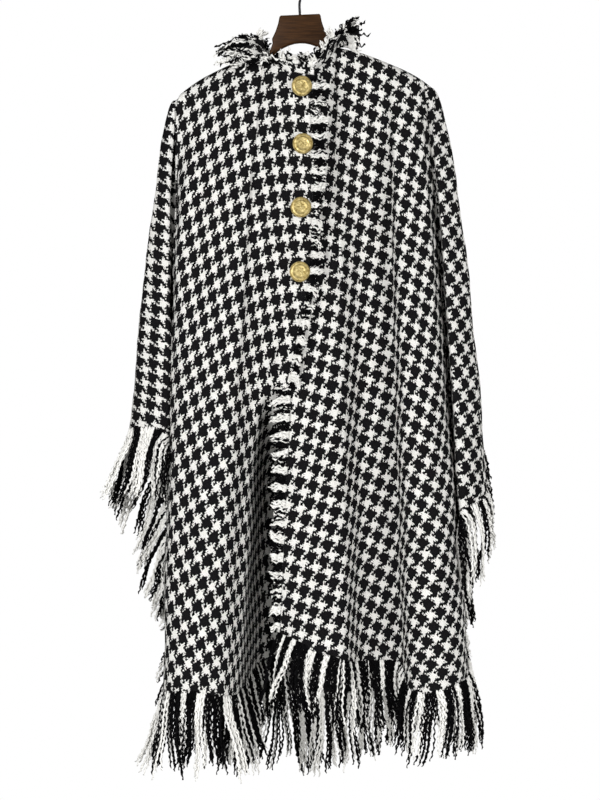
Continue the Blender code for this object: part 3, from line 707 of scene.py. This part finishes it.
def evenly(fine, path, pitch):
    """Places at a pitch along a path: their shares of it, their numbers between those in fine, and the exact pitch."""
    walked = walk(path)
    count = int(walked[-1] / pitch)
    share = (np.arange(count) + 0.5) / count
    return share, np.interp(share * walked[-1], walked, fine), walked[-1] / count


def along_hem(share, profile):
    return np.interp(share, np.linspace(0, 1, len(profile)), profile)


def spread_out(amount, bunch, draw, shape=()):
    """Random numbers, the same for all yarns of a bunch."""
    return draw.normal(0, amount, shape + (bunch.max() + 1,))[..., bunch]


def bunches(threads):
    """Number of each yarn's bunch: the yarns of one stripe."""
    stripe = np.floor(threads / (THREADS / 2)).astype(int)
    return stripe - stripe.min()


def shared_out(stripes, light):
    """Thread count for a count of stripes, of which light threads take a share."""
    part = np.mod(stripes, 1)
    part = np.where(part < light, part / light, 1 + (part - light) / (1 - light)) / 2
    return (np.floor(stripes) + np.minimum(part, 0.999)) * THREADS


def striped(threads):
    """1 for a light thread and 0 for a dark one, by the count of threads passed."""
    return (np.floor(np.mod(threads, THREADS)) < THREADS / 2).astype(float)


def yarns(name, root, start, pull, long, threads, draw, manner):
    """Joined twisted yarns from roots: each sets off along start, is turned into pull by the share turn_by of its
    length, closes up with its bunch, and is crimped and wanders on the way."""
    count = len(root)
    bunch = bunches(threads)
    turn_by, rings, crimp, wander, close = manner
    q = np.linspace(0, 1, rings + 1)
    turned = ease(q, 0, turn_by)[None, :, None]
    way = unit(start[:, None] * (1 - turned) + pull[:, None] * turned)
    spine = root[:, None] + (np.cumsum(way, axis=1) - way) * (long / rings)[:, None, None]
    side = unit(np.cross(way, np.array((0.11, 1.0, 0.07))))
    lift = np.cross(side, way)
    members = np.bincount(bunch)
    middle = np.stack([np.bincount(bunch, root[:, axis]) / np.maximum(members, 1) for axis in range(3)], axis=-1)
    inward = (middle[bunch] - root)[:, None] * (close * ease(q, 0.05, 0.5) * (1 - 0.5 * ease(q, 0.6, 1)))[:, None]
    along = long[:, None] * q
    phase = draw.uniform(0, 2 * np.pi, (4, count, 1))
    wave = 2 * np.pi * along / draw.uniform(0.009, 0.013, (count, 1))
    loose = ease(q, 0, 0.15)
    sway = q**1.5 * (spread_out(wander, bunch, draw, (2,)) + draw.normal(0, wander * 0.45, (2, count)))[..., None]
    turn_phase = draw.uniform(0, 2 * np.pi, bunch.max() + 1)[bunch][:, None]
    curl = wander * 0.6 * q * np.sin(2 * np.pi * q * 1.2 + turn_phase + 0.5 * phase[2] / np.pi)
    spine = spine + inward + (crimp * loose * np.sin(wave + phase[0]) + sway[0] + curl)[..., None] * side
    spine = spine + (crimp * loose * 0.7 * np.cos(wave * 0.9 + phase[1]) + sway[1] * 0.6)[..., None] * lift
    twist = 2 * np.pi * along / YARN_TWIST + phase[3]
    thick = YARN_RADIUS * draw.uniform(0.88, 1.12, (count, 1)) * (1 - 0.4 * ease(q, 0.9, 1))
    corners = []
    for corner, wide in enumerate((1.0, YARN_FLAT, 1.0, YARN_FLAT)):
        angle = twist + corner * np.pi / 2
        reach = side * np.cos(angle)[..., None] + lift * np.sin(angle)[..., None]
        corners.append(spine + reach * (thick * wide)[..., None])
    points = np.stack(corners, axis=2).reshape(-1, 3)
    ring = np.arange(rings)[:, None] * 4
    turn = np.arange(4)[None, :]
    after = (turn + 1) % 4
    walls = np.stack([ring + turn, ring + 4 + turn, ring + 4 + after, ring + after], axis=-1).reshape(-1, 4)
    caps = np.array([[0, 1, 2, 3], [rings * 4 + 3, rings * 4 + 2, rings * 4 + 1, rings * 4]])
    one = np.concatenate([walls, caps])
    faces = (one[None] + (np.arange(count) * (rings + 1) * 4)[:, None, None]).reshape(-1, 4)
    strays = draw.uniform(0, 1, count) < YARN_STRAY
    tone = np.abs(striped(threads) - strays)
    mesh = bpy.data.meshes.new(f"yarns_{name}")
    mesh.from_pydata(points.tolist(), [], faces.tolist())
    shade = mesh.attributes.new("tone", "FLOAT", "POINT")
    shade.data.foreach_set("value", np.repeat(tone, (rings + 1) * 4).astype(np.float32))
    return add_piece(mesh, FRINGE_YARN, "fringe", f"fringe_{name}")


# stripe is the width of one dark and one light bunch at the first and the last fold. long is the fringe's length, light
# the share of light bunches and lean how it leans along X, each at evenly spaced places from the first to the last fold
Hem = namedtuple("Hem", "name cloth first last stripe long light lean pitch seed")
HEMS = (
    Hem(
        "hem_right", "front_right", 0.02, AT.right_side + 0.1, (0.028, 0.034),
        (0.085, 0.090, 0.105, 0.114, 0.114, 0.114), (0.10, 0.14, 0.26, 0.38, 0.38, 0.42),
        (0.02, 0.10, 0.26, 0.22, 0.08, -0.08, -0.32), 1.0, 11,
    ),
    Hem(
        "hem_back", "back", AT.back_right_side - 0.1, AT.back_left_side + 0.1, (0.026, 0.026),
        (0.118, 0.118, 0.118, 0.118, 0.118, 0.118, 0.115, 0.095, 0.062, 0.105, 0.118), (0.46, 0.46),
        (-0.05, -0.02, 0.02, 0.02, 0.0, -0.02, -0.10, -0.24, 0.20, 0.06, 0.0,
         0.0, 0.0, 0.0, -0.03, -0.08, 0.0, 0.10, 0.0, 0.03, 0.05), 1.0, 12,
    ),
    Hem(
        "hem_left", "front_left", AT.left_side - 0.1, AT.left_edge - 0.02, (0.032, 0.0225),
        (0.102, 0.102), (0.36, 0.36, 0.36, 0.34, 0.34, 0.34, 0.40, 0.40),
        (0.10, 0.03, -0.08, 0.10, 0.0, -0.03, -0.10, -0.22), 1.0, 13,
    ),
    Hem(
        "side_right_front", "front_right", AT.right_side + 0.1, AT.right_arm, (0.030, 0.030),
        (0.112, 0.105, 0.040, 0.045, 0.080, 0.070, 0.050, 0.055, 0.085, 0.110, 0.114), (0.62, 0.62),
        (-0.40, -0.26, -0.36, -0.34, -0.12, -0.06, -0.04, -0.10, -0.32), 1.1, 14,
    ),
    Hem(
        "side_right_back", "back", AT.right_arm, AT.back_right_side - 0.1, (0.030, 0.030),
        (0.112, 0.112, 0.114, 0.112, 0.105, 0.112, 0.085, 0.050, 0.045, 0.060, 0.110), (0.52, 0.52),
        (-0.32, -0.32, -0.32, -0.34, -0.36, -0.36, -0.34, -0.20, -0.10, -0.10, -0.10), 1.3, 15,
    ),
    Hem(
        "side_left_back", "back", AT.back_left_side + 0.1, AT.left_arm, (0.030, 0.030),
        (0.100, 0.050, 0.050, 0.055, 0.050, 0.085), (0.50, 0.50), (0.0, -0.02, 0.0, 0.0, -0.02, -0.03), 1.3, 16,
    ),
    Hem(
        "side_left_front", "front_left", AT.left_arm, AT.left_side - 0.1, (0.026, 0.026),
        (0.092, 0.116, 0.118, 0.075, 0.045, 0.100), (0.40, 0.40), (0.0, 0.02, 0.02, 0.0, 0.0, 0.0), 1.1, 17,
    ),
)


def hem_yarns(hem):
    """Long fringe along a panel's hem between two fold lines."""
    draw = np.random.default_rng(hem.seed)
    fine = np.linspace(hem.first + 1e-6, hem.last - 1e-6, 1500)
    share, s, pitch = evenly(fine, cloth(fine, 1.0), YARN_PITCH * hem.pitch)
    count = len(s)
    out = outward(s, 1.0)
    tangent = unit(cloth(s + 0.02, 1.0) - cloth(s - 0.02, 1.0))
    grow = unit(np.cross(out, tangent))
    grow = grow * np.where(grow[:, 2:] > 0.2, -1, 1)
    root = cloth(s, 1.0) - grow * HEM_ROOT + out * draw.uniform(-0.0014, 0.0014, count)[:, None]
    stripe = hem.stripe[0] + (hem.stripe[1] - hem.stripe[0]) * share
    stripes = np.cumsum(pitch / stripe)
    stripes = stripes + 0.16 * np.sin(stripes * 1.5 + hem.seed) + 0.06 * np.sin(stripes * 2.8)
    threads = shared_out(stripes, along_hem(share, hem.light))
    bunch = bunches(threads)
    lean = along_hem(share, hem.lean) + spread_out(0.045, bunch, draw) + draw.normal(0, 0.030, count)
    forward = 0.06 * out[:, 1] + spread_out(0.03, bunch, draw) + draw.normal(0, 0.02, count)
    pull = unit(np.stack([lean, forward, -np.ones(count)], axis=-1))
    long = along_hem(share, hem.long) * (1 + spread_out(0.05, bunch, draw) + draw.normal(0, 0.06, count))
    return yarns(hem.name, root, unit(grow + 0.25 * out), pull, long, threads, draw, HEM_MANNER)


YARNS = {hem.name: hem_yarns(hem) for hem in HEMS}


# light is the share of each stripe that the light tuft takes, loose how unevenly the tufts droop
Edge = namedtuple("Edge", "name cloth row line inside start end long droop_from droop_by light loose seed")
EDGES = (
    Edge(
        "placket_right", "front_right", 0, 0, 0.05, 0.004, 0.535,
        (0.026, 0.025, 0.0225, 0.019, 0.016, 0.015, 0.014), 0.12, 0.45, 0.38, 0.34, 21,
    ),
    Edge(
        "edge_left", "front_left", -1, AT.left_edge, AT.left_edge - 0.05, 0.555, 0.99,
        (0.029, 0.025, 0.022, 0.020, 0.013), 2.0, 3.0, 0.46, 0.08, 22,
    ),
)


def edge_yarns(edge):
    """Short fringe along a front's free edge, lying across the opening and drooping where the edge turns."""
    draw = np.random.default_rng(edge.seed)
    fine = np.linspace(edge.start, edge.end, 600)
    share, t, _ = evenly(fine, cloth(edge.line, fine), EDGE_YARN_PITCH)
    count = len(t)
    grow = unit((cloth(edge.line, t) - cloth(edge.inside, t)) * np.array((1, 1, 0)))
    out = outward(edge.line, t)
    threads = shared_out((SHEETS[edge.cloth].edge_threads(edge.row, t) + 1.3) / THREADS, edge.light)
    bunch, light = bunches(threads), striped(threads)
    droop = 0.06 + 0.9 * ease(t, edge.droop_from, edge.droop_by) + spread_out(edge.loose, bunch, draw)
    droop = droop + draw.normal(0, 0.12, count) + 0.35 * (0.5 - np.mod(threads, THREADS / 2) / (THREADS / 2))
    raised = draw.uniform(-0.0006, 0.0010, count) + 0.0012 * light
    root = cloth(edge.line, t) - grow * EDGE_ROOT + out * raised[:, None]
    rise = out * (0.04 + 0.16 * light + spread_out(0.06, bunch, draw) + draw.normal(0, 0.08, count))[:, None]
    pull = unit(grow + rise + droop[:, None] * np.array((0, 0, -1.0)))
    uneven = 0.82 + 0.22 * light + spread_out(0.07, bunch, draw) + draw.normal(0, 0.09, count)
    long = along_hem(share, edge.long) * uneven
    return yarns(edge.name, root, unit(grow + 0.12 * out), pull, long, threads, draw, EDGE_MANNER)


YARNS.update({edge.name: edge_yarns(edge) for edge in EDGES})


# Frayed stand round the neck: a band of the cloth left standing, and its loose threads

BAND_ROWS = 9
NECK_SPANS = (
    (0, AT.right_neck),
    (AT.nape_right_side, AT.nape_left_side),
    (AT.left_neck, AT.left_edge),
)

# How far the stand's top lies from its foot and how long its loose threads are, at shares of the way round from the
# right front's edge by the nape to the left front's edge. The right side falls over the shoulder, the left one stands
Stand = namedtuple("Stand", "share x y z loose")
STANDS = (
    Stand(0.00, 0.000, -0.003, 0.013, 0.014),
    Stand(0.12, -0.006, -0.003, 0.015, 0.014),
    Stand(0.17, -0.034, 0.003, 0.006, 0.018),
    Stand(0.21, -0.056, 0.006, 0.000, 0.022),
    Stand(0.27, -0.054, -0.005, 0.016, 0.027),
    Stand(0.333, -0.022, -0.002, 0.022, 0.012),
    Stand(0.38, -0.004, 0.004, 0.027, 0.010),
    Stand(0.43, 0.000, 0.004, 0.012, 0.010),
    Stand(0.57, 0.000, 0.004, 0.012, 0.010),
    Stand(0.62, 0.016, -0.004, 0.016, 0.012),
    Stand(0.65, 0.030, -0.006, -0.004, 0.012),
    Stand(0.69, 0.036, -0.008, 0.018, 0.015),
    Stand(0.74, 0.027, -0.006, 0.046, 0.017),
    Stand(0.81, 0.014, -0.006, 0.038, 0.014),
    Stand(0.86, 0.008, -0.005, 0.027, 0.014),
    Stand(0.91, 0.000, -0.003, 0.015, 0.014),
    Stand(1.00, 0.000, -0.003, 0.012, 0.014),
)
BAND_ARCH = 0.16
BAND_RIPPLE = 0.0022
BAND_THIN = 0.8


def neck_line(q):
    """Top edge of the cloth at shares q of the way round the neck."""
    q = q * len(NECK_SPANS)
    leg = np.clip(np.floor(q).astype(int), 0, len(NECK_SPANS) - 1)
    first, last = np.array(NECK_SPANS)[leg].T
    return cloth(np.clip(first + (last - first) * (q - leg), 1e-6, AT.left_edge - 1e-6), 0.0)


NECK = np.linspace(0, 1, 260)
NECK_LINE = neck_line(NECK)
NECK_WALK = walk(NECK_LINE)
STAND_SHARES = [stand.share for stand in STANDS]
STAND_ROWS = np.interp(NECK, STAND_SHARES, range(len(STANDS)))
STAND_REACH = through([(stand.x, stand.y, stand.z) for stand in STANDS], STAND_ROWS, taut=True)
STAND_LOOSE = np.interp(NECK, STAND_SHARES, [stand.loose for stand in STANDS])


def stand_place(foot, reach, rise):
    """Place on the stand at the share rise of its height. A stand that falls outwards arches on the way."""
    aside = np.linalg.norm(reach[..., :2], axis=-1)
    moved = reach * np.stack([rise**1.25, rise**1.25, rise**0.8], axis=-1)
    arch = BAND_ARCH * aside * np.sin(np.pi * rise)
    return foot + moved + np.array((0, 0, 1.0)) * arch[..., None]


def neck_band():
    """Cloth left standing round the neck. Its right side falls outwards over the shoulder."""
    rise = np.linspace(0, 1, BAND_ROWS)[None, :] + np.zeros((len(NECK), 1))
    points = stand_place(NECK_LINE[:, None], STAND_REACH[:, None], rise)
    ripple = np.stack([np.zeros_like(NECK_WALK), np.sin(NECK_WALK * 210), 0.5 * np.cos(NECK_WALK * 160)], axis=-1)
    points = points + BAND_RIPPLE * ripple[:, None] * rise[..., None]
    mesh, i, j = grid_mesh("neck_band", points)
    tall = np.linalg.norm(STAND_REACH, axis=-1)[:, None]
    weave = np.stack([np.repeat(-NECK_WALK[:, None], BAND_ROWS, axis=1), -tall * rise], axis=-1)
    map_weave(mesh, i, j, lambda row, col, _: weave[row, col])
    piece = add_piece(mesh, CHECKED_WOOL, "cloth")
    thicken(piece, CLOTH_THICK * BAND_THIN)
    return piece


def neck_yarns():
    draw = np.random.default_rng(NECK_SEED)
    count = NECK_YARN_COUNT
    places = np.sort(draw.uniform(0, NECK_WALK[-1], count))

    def on_neck(values):
        return np.stack([np.interp(places, NECK_WALK, values[:, axis]) for axis in range(3)], axis=-1)

    foot, reach = on_neck(NECK_LINE), on_neck(STAND_REACH)
    long = np.interp(places, NECK_WALK, STAND_LOOSE) * (1 + draw.normal(0, 0.22, count))
    rise = 1 - 0.5 * draw.uniform(0, 1, count) ** 2
    root = stand_place(foot, reach, rise)
    way = unit(root - stand_place(foot, reach, rise - 0.15))
    aside = unit(np.cross(way, np.array((0, -1.0, 0))))
    front = np.array((0, -1.0, 0)) * draw.uniform(0.0, 0.35, count)[:, None]
    threads = places * THREADS / (REPEAT_ACROSS * 0.8)
    bunch = bunches(threads)
    spread = (spread_out(0.26, bunch, draw) + draw.normal(0, 0.24, count))[:, None]
    start = unit(way + aside * spread * 0.4 + front)
    pull = unit(way + aside * spread + front)
    return yarns("neck", root + front * 0.003, start, pull, long, threads, draw, NECK_MANNER)


BAND = neck_band()
NECK_YARNS = neck_yarns()


# Stitching beside the frayed edges

PIECE_GAP = 0.0004
STITCH_PITCH = 0.0042
STITCH_SEED = 41
STITCH_SIZE = (0.0005, 0.0005, 0.0017)


def stitch_row(name, s_line, start, end):
    """A row of short stitches lying on the cloth, just inside a front's free edge."""
    draw = np.random.default_rng(STITCH_SEED)
    fine = np.linspace(start, end, 500)
    _, t, _ = evenly(fine, cloth(s_line, fine), STITCH_PITCH)
    bm = bmesh.new()
    for share in t:
        seat, out = cloth(s_line, share), outward(s_line, share)
        way = unit(cloth(s_line, share + 0.002) - cloth(s_line, share - 0.002))
        turn = Vector(way).to_track_quat("Z", "Y").to_matrix()
        raised = seat + out * (CLOTH_THICK * 0.5 + PIECE_GAP) + way * draw.normal(0, 0.0002)
        bead(bm, STITCH_SIZE, turn, Vector(raised), 6, 5)
    add_piece(mesh_of(name, bm), STITCH_THREAD, "cloth")


stitch_row("stitches_placket_right", 0.1, 0.01, 0.50)
stitch_row("stitches_edge_left", AT.left_edge - 0.14, 0.57, 0.985)


# Buttons: domed discs with a roped rim and a plain rosette

BUTTON_RADIUS = 0.0155
BUTTON_THICK = 0.0042
BUTTON_RIM = 0.0018

# Outline from the face's middle to its rim, and on to the back: the share of the way out to the rim or of the rim's
# width inwards, and the share of the thickness
BUTTON_DOME = ((0.0, 0.78), (0.35, 0.76), (0.70, 0.68), (0.76, 0.80), (0.82, 0.66), (1.0, 0.62))
BUTTON_EDGE = ((0.9, 0.92), (0.4, 0.9), (0.0, 0.6), (0.0, 0.25), (1.0, 0.0))
BUTTON_PLACES = ((0.003, -0.180), (0.0045, -0.267), (0.0015, -0.363), (0.0, -0.460))

# Rope, petals and middle: how many beads, how far out and up, their size, and their lean in degrees
Beads = namedtuple("Beads", "count radius height size lean")
BUTTON_BEADS = (
    Beads(34, BUTTON_RADIUS - BUTTON_RIM * 0.62, BUTTON_THICK * 0.86, (0.00085, 0.00135, 0.0008), 35),
    Beads(8, BUTTON_RADIUS * 0.30, BUTTON_THICK * 0.76, (0.0026, 0.0013, 0.0006), 0),
    Beads(1, 0.0, BUTTON_THICK * 0.78, (0.0019, 0.0019, 0.0010), 0),
)


def on_right_front(x, z):
    """Fold line and share of the way down where the right front passes x and z."""
    lines = np.linspace(0, 2, 201)
    tops, ends = through(TOPS, lines, taut=True)[:, 2], through(ENDS, lines)[:, 2]
    shares = (z - tops) / (ends - tops)
    best = int(np.argmin(np.abs(cloth(lines, shares)[:, 0] - x)))
    return lines[best], shares[best]


def button_disc(bm):
    inner = BUTTON_RADIUS - BUTTON_RIM * 1.5
    profile = [(inner * share, height) for share, height in BUTTON_DOME]
    profile += [(BUTTON_RADIUS - BUTTON_RIM * share, height) for share, height in BUTTON_EDGE] + [(0.0, 0.0)]
    verts = [bm.verts.new((radius, 0, BUTTON_THICK * height)) for radius, height in profile]
    for first, second in zip(verts, verts[1:]):
        bm.edges.new((first, second))
    turned = {"cent": (0, 0, 0), "axis": (0, 0, 1), "angle": 2 * math.pi, "steps": 48}
    bmesh.ops.spin(bm, geom=bm.verts[:] + bm.edges[:], use_merge=True, **turned)
    bmesh.ops.remove_doubles(bm, verts=bm.verts[:], dist=1e-5)
    bmesh.ops.recalc_face_normals(bm, faces=bm.faces[:])


def button(number, x, z):
    s, t = on_right_front(x, z)
    seat, out = cloth(s, t), outward(s, t)
    bm = bmesh.new()
    button_disc(bm)
    for ring in BUTTON_BEADS:
        for angle in (2 * math.pi * k / ring.count for k in range(ring.count)):
            turn = Matrix.Rotation(angle, 3, "Z") @ Matrix.Rotation(math.radians(ring.lean), 3, "X")
            bead(bm, ring.size, turn, (ring.radius * math.cos(angle), ring.radius * math.sin(angle), ring.height))
    placed = Vector(out).to_track_quat("Z", "Y").to_matrix().to_4x4()
    placed.translation = Vector(seat + out * (CLOTH_THICK / 2 + PIECE_GAP))
    bmesh.ops.transform(bm, matrix=placed, verts=bm.verts[:])
    add_piece(mesh_of(f"gilt_button_{number}", bm), GOLD, "button", f"button_{number}", sharp=40)


for number, place in enumerate(BUTTON_PLACES, start=1):
    button(number, *place)


# Wooden hanger

HANGER_HALF = 0.181
HANGER_THICK = 0.012
HANGER_ROUND = 0.0032
HANGER_TOP = -0.063
HANGER_TILT = 0.044

# One side of the board. Hump: X, and how far below the top. Shoulder and its underside: X, and how far below the
# cloth's middle. Arch: X and Z
HUMP = ((0.0295, 0), (0.0315, 0.002), (0.0337, 0.013), (0.0375, 0.024), (0.0428, 0.035), (0.042, 0.042))
BAR = (
    (0.048, 2 * WOOD_CLEAR), (0.060, 1.5 * WOOD_CLEAR), (0.152, WOOD_CLEAR), (HANGER_HALF - 0.004, 1.4 * WOOD_CLEAR),
    (HANGER_HALF, 0.008), (HANGER_HALF - 0.002, 0.018), (HANGER_HALF - 0.012, 0.022), (0.100, 0.028),
)
ARCH = (
    (0.056, -0.136), (0.044, -0.1255), (0.034, -0.1175), (0.025, -0.1122), (0.016, -0.1085), (0.008, -0.1066),
    (0.0, -0.106),
)


def hanger_side(side):
    """One side of the board, 1 or -1, from the top's middle round to the arch's middle. It hangs a little tilted,
    and its shoulder lies just under the cloth's."""
    hump = [(x, HANGER_TOP - below + side * x * HANGER_TILT) for x, below in HUMP]
    bar = [(x, shoulder_z(side * x) - below) for x, below in BAR]
    arch = [(x, z + side * x * HANGER_TILT) for x, z in ARCH]
    return [(side * x, z) for x, z in hump + bar + arch]


def hanger_wood():
    bm = bmesh.new()
    outline = hanger_side(1) + hanger_side(-1)[-2::-1]
    face = bm.faces.new([bm.verts.new((x, -HANGER_THICK / 2, z)) for x, z in outline])
    raised = bmesh.ops.extrude_face_region(bm, geom=[face])["geom"]
    moved = [item for item in raised if isinstance(item, bmesh.types.BMVert)]
    bmesh.ops.translate(bm, verts=moved, vec=(0, HANGER_THICK, 0))
    bmesh.ops.recalc_face_normals(bm, faces=bm.faces[:])
    rims = [edge for edge in bm.edges if abs(edge.verts[0].co.y - edge.verts[1].co.y) < 1e-6]
    rounding = {"offset": HANGER_ROUND, "segments": 4, "profile": 0.5, "clamp_overlap": True}
    bmesh.ops.bevel(bm, geom=rims, affect="EDGES", material=-1, **rounding)
    add_piece(mesh_of("hanger_wood", bm), DARK_WOOD, "hanger", "hanger_body", sharp=35)


hanger_wood()


# Wire hook

WIRE_RADIUS = 0.002
HOOK_RADIUS = 0.0195
HOOK_TURN = range(-38, 208, 18)
HOOK_STEPS = 90
STEM_BEND = -0.041


def hook_wire():
    centre = WIRE_RADIUS - HOOK_RADIUS
    turn = [math.radians(angle) for angle in HOOK_TURN]
    ring = [(HOOK_RADIUS * math.cos(a), 0, centre + HOOK_RADIUS * math.sin(a)) for a in turn]
    stem = [(0, 0, HANGER_TOP - 0.004), (0, 0, STEM_BEND), (0.0045, 0, STEM_BEND + 0.007)]
    points = stem + ring
    path = through(points, np.linspace(0, len(points) - 1, HOOK_STEPS))
    bm = bmesh.new()
    loop = bmesh.ops.create_circle(bm, cap_ends=True, segments=14, radius=WIRE_RADIUS)["verts"]
    facing = Vector((0, 0, 1))
    bmesh.ops.translate(bm, verts=loop, vec=Vector(path[0]))
    last = list(bm.faces)
    for before, place in zip(path, path[1:]):
        way = Vector(unit(place - before))
        last = bmesh.ops.extrude_discrete_faces(bm, faces=last)["faces"]
        verts = last[0].verts[:]
        bmesh.ops.translate(bm, verts=verts, vec=Vector(place - before))
        turned = facing.rotation_difference(way).to_matrix()
        bmesh.ops.rotate(bm, verts=verts, cent=Vector(place), matrix=turned)
        facing = way
    bmesh.ops.recalc_face_normals(bm, faces=bm.faces[:])
    add_piece(mesh_of("hook_wire", bm), BLACK_WIRE, "hook", "hanger_hook", sharp=50)


hook_wire()


# What each cloth was cut to, and what goes with it

Cut = namedtuple("Cut", "cloth flat area fringes")
CUTS = (
    Cut("front_right", (0.54, 0.98), 0.33, ("hem_right", "side_right_front", "placket_right")),
    Cut("front_left", (0.54, 0.96), 0.36, ("hem_left", "side_left_front", "edge_left")),
    Cut("back", (1.10, 1.01), 0.63, ("hem_back", "side_right_back", "side_left_back")),
)
for cut in CUTS:
    fringes = [YARNS[name] for name in cut.fringes]


# Studio: pale floor, white surroundings, soft lights and the photo's camera

FLOOR_Z = -1.75
FLOOR_HALF = 2.3
ROOM_LIGHT = 0.20
PHOTO_MIDDLE_Z = -0.652
CAMERA_Y = -3.06
LENS_MM, SENSOR_MM = 90, 36

# Name, place, size and power
LAMPS = (
    ("key", (-1.9, -3.3, -0.15), 1.4, 116.0),
    ("fill", (2.3, -2.7, -0.4), 1.6, 70.0),
    ("rear", (1.6, 3.0, 0.9), 1.8, 90.0),
)


def studio():
    bm = bmesh.new()
    bmesh.ops.create_grid(bm, x_segments=2, y_segments=2, size=FLOOR_HALF)
    bmesh.ops.translate(bm, verts=bm.verts[:], vec=(0, 0, FLOOR_Z))
    mesh = mesh_of("floor", bm)
    pale = Finish("pale_floor", Roughness=0.9)
    grey = pale.noise(pale.object_place(), 3.0)
    pale.colour(pale.mix(grey, (0.80, 0.80, 0.79, 1), (0.86, 0.86, 0.85, 1)))
    mesh.materials.append(pale.material)
    link("floor", mesh)

    world = bpy.data.worlds.new("white_room")
    bpy.context.scene.world = world
    world.use_nodes = True
    tree = world.node_tree
    sky = tree.nodes["Background"]
    sky.inputs["Color"].default_value = (1, 1, 1, 1)
    path = tree.nodes.new("ShaderNodeLightPath")
    level = tree.nodes.new("ShaderNodeMapRange")
    level.inputs["To Min"].default_value = ROOM_LIGHT
    level.inputs["To Max"].default_value = 1.0
    tree.links.new(path.outputs["Is Camera Ray"], level.inputs["Value"])
    tree.links.new(level.outputs["Result"], sky.inputs["Strength"])

    for name, place, size, power in LAMPS:
        lamp = bpy.data.lights.new(name, "AREA")
        lamp.size = size
        lamp.energy = power
        made = link(name, lamp)
        made.location = place
        made.rotation_euler = (Vector((0, 0, PHOTO_MIDDLE_Z)) - Vector(place)).to_track_quat("-Z", "Y").to_euler()

    lens = bpy.data.cameras.new("photo_camera")
    lens.lens = LENS_MM
    lens.sensor_width = SENSOR_MM
    lens.sensor_fit = "AUTO"
    camera = link("photo_camera", lens)
    camera.location = (0, CAMERA_Y, PHOTO_MIDDLE_Z)
    camera.rotation_euler = (math.pi / 2, 0, 0)
    bpy.context.scene.camera = camera
    bpy.context.scene.view_settings.view_transform = "Standard"


studio()
